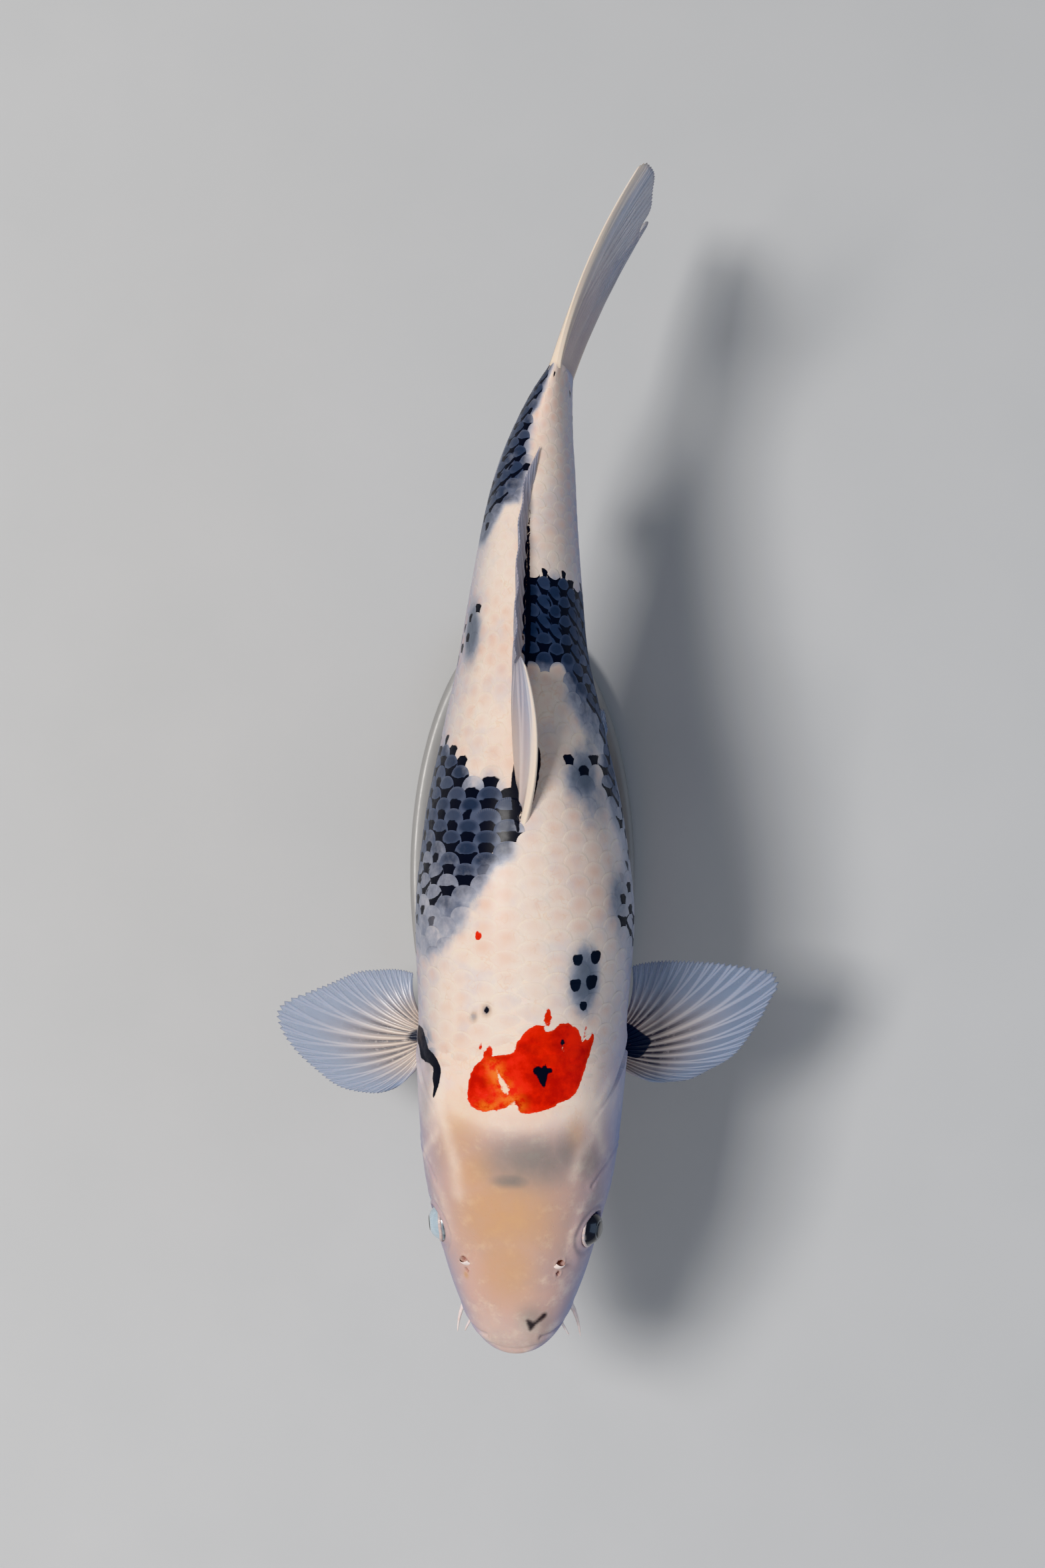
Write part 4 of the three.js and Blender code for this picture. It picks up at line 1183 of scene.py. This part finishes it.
PECTORAL_REACH = {  # direction of a ray in degrees, its length
    "left": [
        (-46, 23), (-30, 32), (-21, 39), (-11, 47), (-4, 54), (8, 65.5), (18, 76), (23, 83), (26, 83),
        (32, 75), (41, 64), (55, 53), (65, 48), (86, 41),
    ],
    "right": [
        (-68, 27), (-52, 36.5), (-34, 46.5), (-18, 55.5), (-6, 63.5), (4, 71), (8, 72.5), (11, 71.5),
        (21, 59), (30, 51.5), (46, 44), (62, 38), (88, 32),
    ],
}
PECTORAL = {"left": ((147, 50, -36), 0.14), "right": ((149, 54.5, -38), 0.42)}  # hinge, slope
PELVIC_REACH = [(62, 48), (70, 56), (80, 54), (92, 38)]


def plain_tone(warmth):
    """Tones of a fin without black: warm root, no stain, clear membrane."""
    return lambda u, v: (warmth * (1 - ease(u, 0.1, 0.6)), 0 * u, 0.6 * ease(v, 0.05, 0.15))


def build_paired_fins():
    black = {
        "left": lambda u, v: 1.3 * (1 - ease(u, 0.12, 0.20)) * ease(v, 0.28, 0.42) * (1 - ease(v, 0.9, 0.98)),
        "right": lambda u, v: 1.2 * bell(u, 0.09) * bell(v - 0.55, 0.16),
    }
    for side, sign in SIDES.items():
        (hinge, slope), reach = PECTORAL[side], PECTORAL_REACH[side]
        streaks = lambda u, v: 0.8 * bell(u - 0.24, 0.26) * ease(v, 0.10, 0.3) * (1 - 0.6 * ease(v, 0.8, 1))
        stain = lambda u, v: streaks(u, v) + black[side](u, v)
        tone = lambda u, v: (0.25 * (1 - ease(u, 0.1, 0.5)), stain(u, v), 0.58 * ease(v, 0.02, 0.1))
        build_paired(
            f"pectoral_fin_{side}", sign, hinge, reach, tone, turns=(reach[0][0], reach[-1][0]),
            slope=slope, fall=0.0, root_length=17, curl=4, root_thick=4.5, rays=17,
        )
    for side, sign in SIDES.items():
        build_paired(
            f"pelvic_fin_{side}", sign, (262, 19, -53), PELVIC_REACH, plain_tone(0.3), turns=(62, 92),
            slope=1.0, fall=0.34, root_length=12, curl=-4, root_thick=2.4, rays=10,
        )


def build_anal():
    length = through((0, 50), (0.15, 52), (0.6, 38), (1, 25))
    at = lambda v: mix(379.0, 410.0, v)

    def tip(v):
        far, drop = length(v) + 4, mix(50.0, 28.0, v) * DEG
        return place_rolled(at(v) + far * np.cos(drop), 1.5, BOTTOM(along(at(v))) + 4 - far * np.sin(drop))

    root = lambda v: place_rolled(at(v), 0.0, BOTTOM(along(at(v))) + 4)
    surface = swept(root, tip, lambda v: vector(1.0, 0, -1.5))
    sizes = {"rays": 9, "across": 36, "root_thick": 3.0, "tip_thick": 0.95, "spine": 0.5, "frill": 0.03}
    make_fin("koi_anal_fin", surface, ["anal_fin"], plain_tone(0.35), **sizes)


def tail_point(back, side, level, lean):
    heading = 23.5 * DEG
    out = side + level * lean
    x = back * np.sin(heading) + out * np.cos(heading)
    y = back * np.cos(heading) - out * np.sin(heading)
    return place(BODY_LENGTH, 0.0, level) + vector(x, y, 0)


def build_tail():
    spread = through((0, 0.62), (0.3, 0.73), (0.6, 0.89), (0.85, 1.0), (0.94, 1.01), (1, 0.97))
    climb = through((0, 0.006), (0.5, 0.4), (0.85, 0.83), (1, 1))
    swing = through((0, 2.5), (0.6, 5.5), (0.9, 4), (1, 0.8))
    wide_swing = through((0, 4), (0.35, 9), (0.6, 10), (0.85, 7), (1, 0.8))

    def surface(u, v):
        both = mix(-1.0, 1.0, v)
        sign, w = np.sign(both + 1e-9), np.abs(both)
        upper = sign > 0
        far, up, bow = np.where(upper, 95.0, 92.0), np.where(upper, 72.0, 66.0), np.where(upper, -5.0, -2.0)
        root = tail_point(-3.0, 0.0, both * 28, -0.12)
        side = np.where(upper, wide_swing(w), swing(w))
        tip = tail_point(far * spread(w), side, sign * up * climb(w), -0.05)
        rise = np.asarray(u)[..., None]
        return mix(root, tip, rise) + vector(mix(-2.5, bow, w), 0, sign * 4 * w) * 4 * rise * (1 - rise)

    tone = lambda u, v: (
        np.clip(1.0 * bell(1 - v, 0.045) + 0.7 * bell(v, 0.045) + 0.35 * (1 - ease(u, 0.0, 0.35)), 0, 1),
        0.75 * bell(v - 0.62, 0.05) * (1 - ease(u, 0.05, 0.55))
        + 0.5 * bell(v - 0.3, 0.05) * (1 - ease(u, 0.1, 0.4)),
        0.62 * np.minimum(ease(v, 0.03, 0.10), ease(1 - v, 0.03, 0.10)),
    )
    off_edges = lambda v: np.minimum(ease(v, 0.04, 0.12), ease(1 - v, 0.04, 0.12))
    hue = lambda u, v: (0 * u, 0.8 * off_edges(v) * (1 - 0.5 * ease(u, 0.4, 1)))
    sizes = {"rays": 22, "across": 52, "root_thick": 6.0, "tip_thick": 1.0, "frill": 0.008}
    make_fin("koi_tail_fin", surface, ["tail_fin_upper", "tail_fin_lower"], tone, hue, **sizes)


# ---------------------------------------------------------------- head parts


def lathe(profile, steps):
    """Turns (radius, height) pairs round an axis. Returns points about (0, 0, 0) and faces."""
    profile = np.array(profile, float)
    turn = np.arange(steps) / steps * 2 * math.pi
    ring = np.stack([np.cos(turn), np.sin(turn)], -1)
    height = np.broadcast_to(profile[:, None, 1:2], (len(profile), steps, 1))
    points = np.concatenate([profile[:, None, 0:1] * ring[None], height], -1)
    return points, grid(len(profile), steps, True)


def lathe_uv(rows, steps):
    def unwrap(loops, sizes):
        u = turn_share(loops, sizes, steps, rows * steps)
        return np.stack([0.01 + 0.97 * u, 0.01 + 0.98 * (loops // steps) / (rows - 1)], -1)

    return unwrap


def basis(axis):
    """Two unit vectors across an axis, the first one level."""
    across = np.cross([0.0, 0.0, 1.0], axis)
    across /= np.linalg.norm(across)
    return across, np.cross(axis, across)


def eye_look(name, inner, outer, ring_tone):
    """Iris spokes between two tones, a bright ring round the pupil and a wet front."""
    look = Look(name)
    radius, turn, _ = look.parts("iris")
    fine = look.noise(900, 4, 0.65)
    where = look.add("ShaderNodeCombineXYZ", {0: turn * 9.0, 1: radius * 1.4}).outputs[0]
    spokes = look.add("ShaderNodeTexNoise", {"Vector": where, "Scale": 3.0, "Detail": 4.0}).outputs[0]
    colour = look.blend(look.band(spokes, 0.30, 0.75), inner, outer)
    colour = look.blend(look.band(fine, 0.5, 0.7, 0, 0.4), colour, outer)
    ring = 1.0 - look.band(abs(radius - 0.475), 0.0, 0.035)
    colour = look.blend(ring * 0.9, colour, ring_tone)
    colour = look.blend(look.band(radius, 0.455, 0.43), colour, (0.004, 0.004, 0.006))
    colour = look.blend(look.band(radius, 0.93, 1.0), colour, (0.04, 0.04, 0.05))
    look.set(
        Base_Color=colour, Roughness=0.25, Metallic=look.band(radius, 0.45, 0.5) * 0.2, Coat_Weight=1.0,
        Coat_Roughness=0.02, Normal=look.bump(spokes, 0.1, 0.0002),
    )
    return look.material


def rim_look():
    look = Look("koi_eye_rim")
    fine = look.noise(500, 4, 0.6)
    colour = look.blend(look.band(fine, 0.35, 0.7), (0.60, 0.47, 0.43), (0.42, 0.38, 0.40))
    look.set(
        Base_Color=colour, Roughness=0.3, Coat_Weight=0.6, Coat_Roughness=0.08,
        Normal=look.bump(fine, 0.3, 0.0003),
    )
    return look.material


def build_eyes():
    # the -X eye gets a pale blue-grey iris, painted reflection on that eye; the +X eye is black
    pale_eye_with_reflection = eye_look("koi_eye_painted_reflection", (0.50, 0.60, 0.66), (0.40, 0.50, 0.58), (0.62, 0.66, 0.62))
    black = eye_look("koi_eye_black", (0.020, 0.020, 0.026), (0.010, 0.010, 0.014), (0.16, 0.18, 0.20))
    rim_material = rim_look()
    radius = EYE["radius"]
    steps, rim_steps, rim_round = 72, 96, 14
    for side, sign in SIDES.items():
        centre, axis = eye_frame(sign)
        across, upward = basis(axis)
        pupil, ball = np.linspace(0.02, math.pi / 2, 10), np.linspace(0.435, 1.75, 40)
        profile = [(radius * 0.40 * math.sin(a), radius * 0.905 + 0.42 * math.cos(a)) for a in pupil]
        groove = lambda a: 0.12 * float(bell(a - 0.43, 0.09))
        profile += [(radius * math.sin(a), radius * math.cos(a) - groove(a)) for a in ball]
        profile += [(0.01, -1.5)]
        profile[0] = (0.01, profile[0][1])
        points, faces = lathe(profile, steps)
        world = centre + points[..., 0:1] * across + points[..., 1:2] * upward + points[..., 2:3] * axis
        turn = np.arctan2(points[..., 1], points[..., 0])
        share = np.hypot(points[..., 0], points[..., 1]) / radius
        values = {"iris": np.stack([share.ravel(), np.abs(turn).ravel(), 0 * turn.ravel()], -1)}
        material, unwrap = black if sign > 0 else pale_eye_with_reflection, lathe_uv(len(profile), steps)
        make(f"koi_eye_{side}", world, [faces[:, ::-1]], material, unwrap, values, [f"eye_{side}"])
        i, j = np.meshgrid(np.arange(rim_steps), np.arange(rim_round), indexing="ij")
        a, b = i / rim_steps * 2 * math.pi, j / rim_round * 2 * math.pi
        big = 8.75 + 0.78 * np.cos(b)
        ring = centre + (big * np.cos(a))[..., None] * across + (big * np.sin(a))[..., None] * upward
        ring = ring + (3.55 + 0.85 * np.sin(b) + 0.10 * np.sin(5 * a))[..., None] * axis
        here, ahead, up = i * rim_round, (i + 1) % rim_steps * rim_round, (j + 1) % rim_round
        quads = np.stack([here + j, ahead + j, ahead + up, here + up], -1).reshape(-1, 4)
        make(f"koi_eye_rim_{side}", ring, [quads], rim_material)


TUBE_AROUND = 20


def tube(route, radii):
    """A closed round rod along a route."""
    route = np.asarray(route, float)
    ahead = np.gradient(route, axis=0)
    ahead /= np.linalg.norm(ahead, axis=1)[:, None]
    across = np.cross(ahead, [0.0, 0.0, 1.0])
    across /= np.linalg.norm(across, axis=1)[:, None]
    upward = np.cross(across, ahead)
    turn = (np.arange(TUBE_AROUND) / TUBE_AROUND * 2 * math.pi)[None, :, None]
    radii = np.asarray(radii, float)[:, None, None]
    rings = route[:, None] + radii * (np.cos(turn) * across[:, None] + np.sin(turn) * upward[:, None])
    points = np.vstack([rings.reshape(-1, 3), route[:1], route[-1:]])
    return points, capped(len(route), TUBE_AROUND)


def barbel_look():
    look = Look("koi_barbel")
    fine = look.noise(350, 4, 0.6)
    colour = look.blend(look.band(fine, 0.35, 0.7), (0.74, 0.68, 0.68), (0.62, 0.52, 0.52))
    colour = look.blend(look.value("tip") * 0.5, colour, (0.85, 0.7, 0.62))
    look.set(
        Base_Color=colour, Roughness=0.34,
        Subsurface_Weight=0.2, Subsurface_Radius=(1.0, 0.4, 0.25), Subsurface_Scale=0.002,
        Coat_Weight=0.5, Coat_Roughness=0.1, Normal=look.bump(fine, 0.4, 0.0004),
    )
    return look.material


def build_barbels():
    material = barbel_look()
    kinds = {
        "corner": ([(29, 21, -19), (22, 26, -21), (14, 29, -25), (5, 30.5, -30)], 1.85),
        "upper": ([(19, 20, -11), (14, 22.5, -12.5), (10, 24.5, -15), (7.5, 25.5, -18)], 0.9),
    }
    for side, sign in SIDES.items():
        for kind, (route, root) in kinds.items():
            line = rounded(route, 12, False)
            share = np.linspace(0, 1, len(line))
            radii = mix(root, 0.35, share**0.9) * np.sqrt(np.clip(1.02 - share**10, 0.02, 1))
            radii = radii * (1 + 0.03 * np.sin(share * 46))
            path = place_rolled(line[:, 0], sign * line[:, 1], line[:, 2])
            points, faces = tube(path, radii)
            tip = np.append(np.repeat(share, TUBE_AROUND), [0.0, 1.0])
            name = f"barbel_{kind}_{side}"
            make(f"koi_{name}", points, faces, material, None, {"tip": tip}, [name])


def build_nostril_flaps():
    look = Look("koi_nostril_flap")
    fine = look.noise(500, 3, 0.6)
    look.set(
        Base_Color=look.blend(fine, (0.84, 0.74, 0.70), (0.74, 0.60, 0.56)), Roughness=0.3, Coat_Weight=0.6,
        Coat_Roughness=0.08, Normal=look.bump(fine, 0.2, 0.0003),
    )
    for side, sign in SIDES.items():
        u, v = np.meshgrid(np.linspace(0, 1, 12), np.linspace(-1, 1, 17), indexing="ij")
        base, normal = body_with_normal(NOSTRIL_S - 0.1, sign * NOSTRIL_T * DEG)
        ahead, _ = body_with_normal(NOSTRIL_S + 1.1, sign * NOSTRIL_T * DEG)
        forward = (ahead - base) / np.linalg.norm(ahead - base)
        across = np.cross(normal, forward)
        wide = 3.5 * v * (1 - 0.25 * u)
        high = -0.7 + 2.7 * u * np.sqrt(np.clip(1 - 0.75 * v * v, 0, 1))
        back = 2.6 * u * u - 0.4 + 1.5 * v * v * (1 - 0.4 * u)
        middle = base + wide[..., None] * across + high[..., None] * normal + back[..., None] * forward
        thick = (0.42 * (1 - 0.45 * u))[..., None] * forward
        points = np.stack([middle + thick, middle - thick]).reshape(-1, 3)
        make(f"koi_nostril_flap_{side}", points, [two_faced(*u.shape)], look.material)


# ---------------------------------------------------------------- stand


def build_stand():
    paint = Look("stand_paint")
    fine = paint.noise(180, 4, 0.6)
    grain = paint.noise(30, 6, 0.7, stretch=(1.0, 0.08, 1.0))
    colour = paint.blend(paint.band(grain, 0.35, 0.7), (0.33, 0.325, 0.32), (0.28, 0.275, 0.27))
    paint.set(
        Base_Color=colour, Roughness=paint.band(fine, 0.3, 0.7, 0.38, 0.5), Coat_Weight=0.2,
        Coat_Roughness=0.25, Normal=paint.bump(fine * 0.3 + grain, 0.12, 0.0005),
    )
    metal = Look("stand_metal")
    lines = metal.noise(700, 3, 0.6, stretch=(1.0, 1.0, 0.02))
    metal.set(
        Base_Color=metal.blend(lines, (0.60, 0.60, 0.61), (0.46, 0.46, 0.48)), Metallic=1.0,
        Roughness=metal.band(lines, 0.3, 0.7, 0.24, 0.4), Normal=metal.bump(lines, 0.1, 0.0002),
    )
    wide, long, tall = [(base_high[i] - base_low[i]) * half for i, half in enumerate((500, 500, 1000))]
    bevel = 3.0
    profile = [(0.001, 0.0), (1.0 - bevel / wide, 0.0)]
    for a in np.linspace(0.2, math.pi / 2, 5):
        profile += [(1 - bevel / wide * (1 - math.sin(a)), bevel * 0.35 * (1 - math.cos(a)))]
    profile += [(1.0, tall - bevel)]
    for a in np.linspace(0.2, math.pi / 2, 8):
        profile += [(1 - bevel / wide * (1 - math.cos(a)), tall - bevel * (1 - math.sin(a)))]
    profile += [(0.86, tall), (0.855, tall - 0.5), (0.845, tall - 0.5), (0.84, tall), (0.001, tall)]
    points, faces = lathe(profile, 160)
    world = points * np.array([wide, long, 1.0])
    make(
        "stand_base_top", world, [faces[:, ::-1]], paint.material,
        lathe_uv(len(profile), 160), None, ["stand_base"],
    )
    for name in ("stand_post_front", "stand_post_rear"):
        low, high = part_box(name)
        middle = [((low[i] + high[i]) / 2 - ORIGIN[i]) * 1000 for i in (0, 1)]
        bottom, top = (low[2] - ORIGIN[2]) * 1000, (high[2] - ORIGIN[2]) * 1000
        r = (high[0] - low[0]) * 500
        profile = [(0.01, bottom - 0.2), (r, bottom - 0.2), (r, bottom + 4.2), (r * 0.96, bottom + 4.6)]
        profile += [(r * 0.80, bottom + 4.8), (r * 0.78, bottom + 5.4)]
        profile += [(r * 0.78, z) for z in np.linspace(bottom + 12, top - 9, 10)]
        profile += [(r * 0.82, top - 8.6), (r * 0.96, top - 7.8), (r * 0.98, top - 7.2)]
        profile += [(r * 0.98, top - 0.1), (0.01, top - 0.1)]
        points, faces = lathe(profile, 64)
        world = points + np.array([middle[0], middle[1], 0.0])
        make(
            name + "_rod", world, [faces[:, ::-1]], metal.material,
            lathe_uv(len(profile), 64), None, [name],
        )


# ---------------------------------------------------------------- build

build_skin()
scale_count = build_scales()
build_dorsal()
build_paired_fins()
build_anal()
build_tail()
build_eyes()
build_barbels()
build_nostril_flaps()
build_stand()

# ---------------------------------------------------------------- floor, light and camera

floor_look = Look("pale_floor")
floor_look.set(
    Base_Color=floor_look.blend(floor_look.noise(14, 4, 0.5), (0.47, 0.475, 0.48), (0.50, 0.50, 0.505)),
    Roughness=0.8,
)
FLOOR_REACH = 6000.0
corners = [[x * FLOOR_REACH, y * FLOOR_REACH, 0] for x, y in ((-1, -1), (1, -1), (1, 1), (-1, 1))]
make("pale_floor", corners, [[[0, 1, 2, 3]]], floor_look.material, stage=True, smooth=False)


def lamp(name, at, toward, power, size, colour):
    data = bpy.data.lights.new(name, "AREA")
    data.energy, data.size, data.color = power, size, colour
    light = bpy.data.objects.new(name, data)
    light.location = np.array(at) / 1000 + ORIGIN
    aim = np.array(toward, float) - np.array(at, float)
    light.rotation_mode = "QUATERNION"
    light.rotation_quaternion = Vector(aim).to_track_quat("-Z", "Y")
    bpy.context.scene.collection.objects.link(light)


lamp("key", (-1350, 250, 2750), (0, 0, 150), 80, 0.85, (1.0, 0.97, 0.93))
lamp("fill", (1500, -300, 900), (0, 0, 150), 5.5, 1.4, (0.58, 0.75, 1.0))
lamp("front", (-100, -1500, 900), (0, -100, 150), 5, 1.0, (1.0, 0.97, 0.93))
world = bpy.data.worlds.new("room")
world.use_nodes = True
world.node_tree.nodes["Background"].inputs[0].default_value = (0.86, 0.90, 0.96, 1)
world.node_tree.nodes["Background"].inputs[1].default_value = 0.30
bpy.context.scene.world = world
bpy.context.scene.view_settings.view_transform = "Khronos PBR Neutral"

lens = bpy.data.cameras.new("camera")
lens.lens, lens.sensor_width, lens.sensor_fit = CAMERA_LENS, 36.0, "AUTO"
lens.clip_start, lens.clip_end = 0.05, 20
camera = bpy.data.objects.new("camera", lens)
camera.location = np.array(CAMERA_AT) / 1000 + ORIGIN
bpy.context.scene.collection.objects.link(camera)
bpy.context.scene.camera = camera
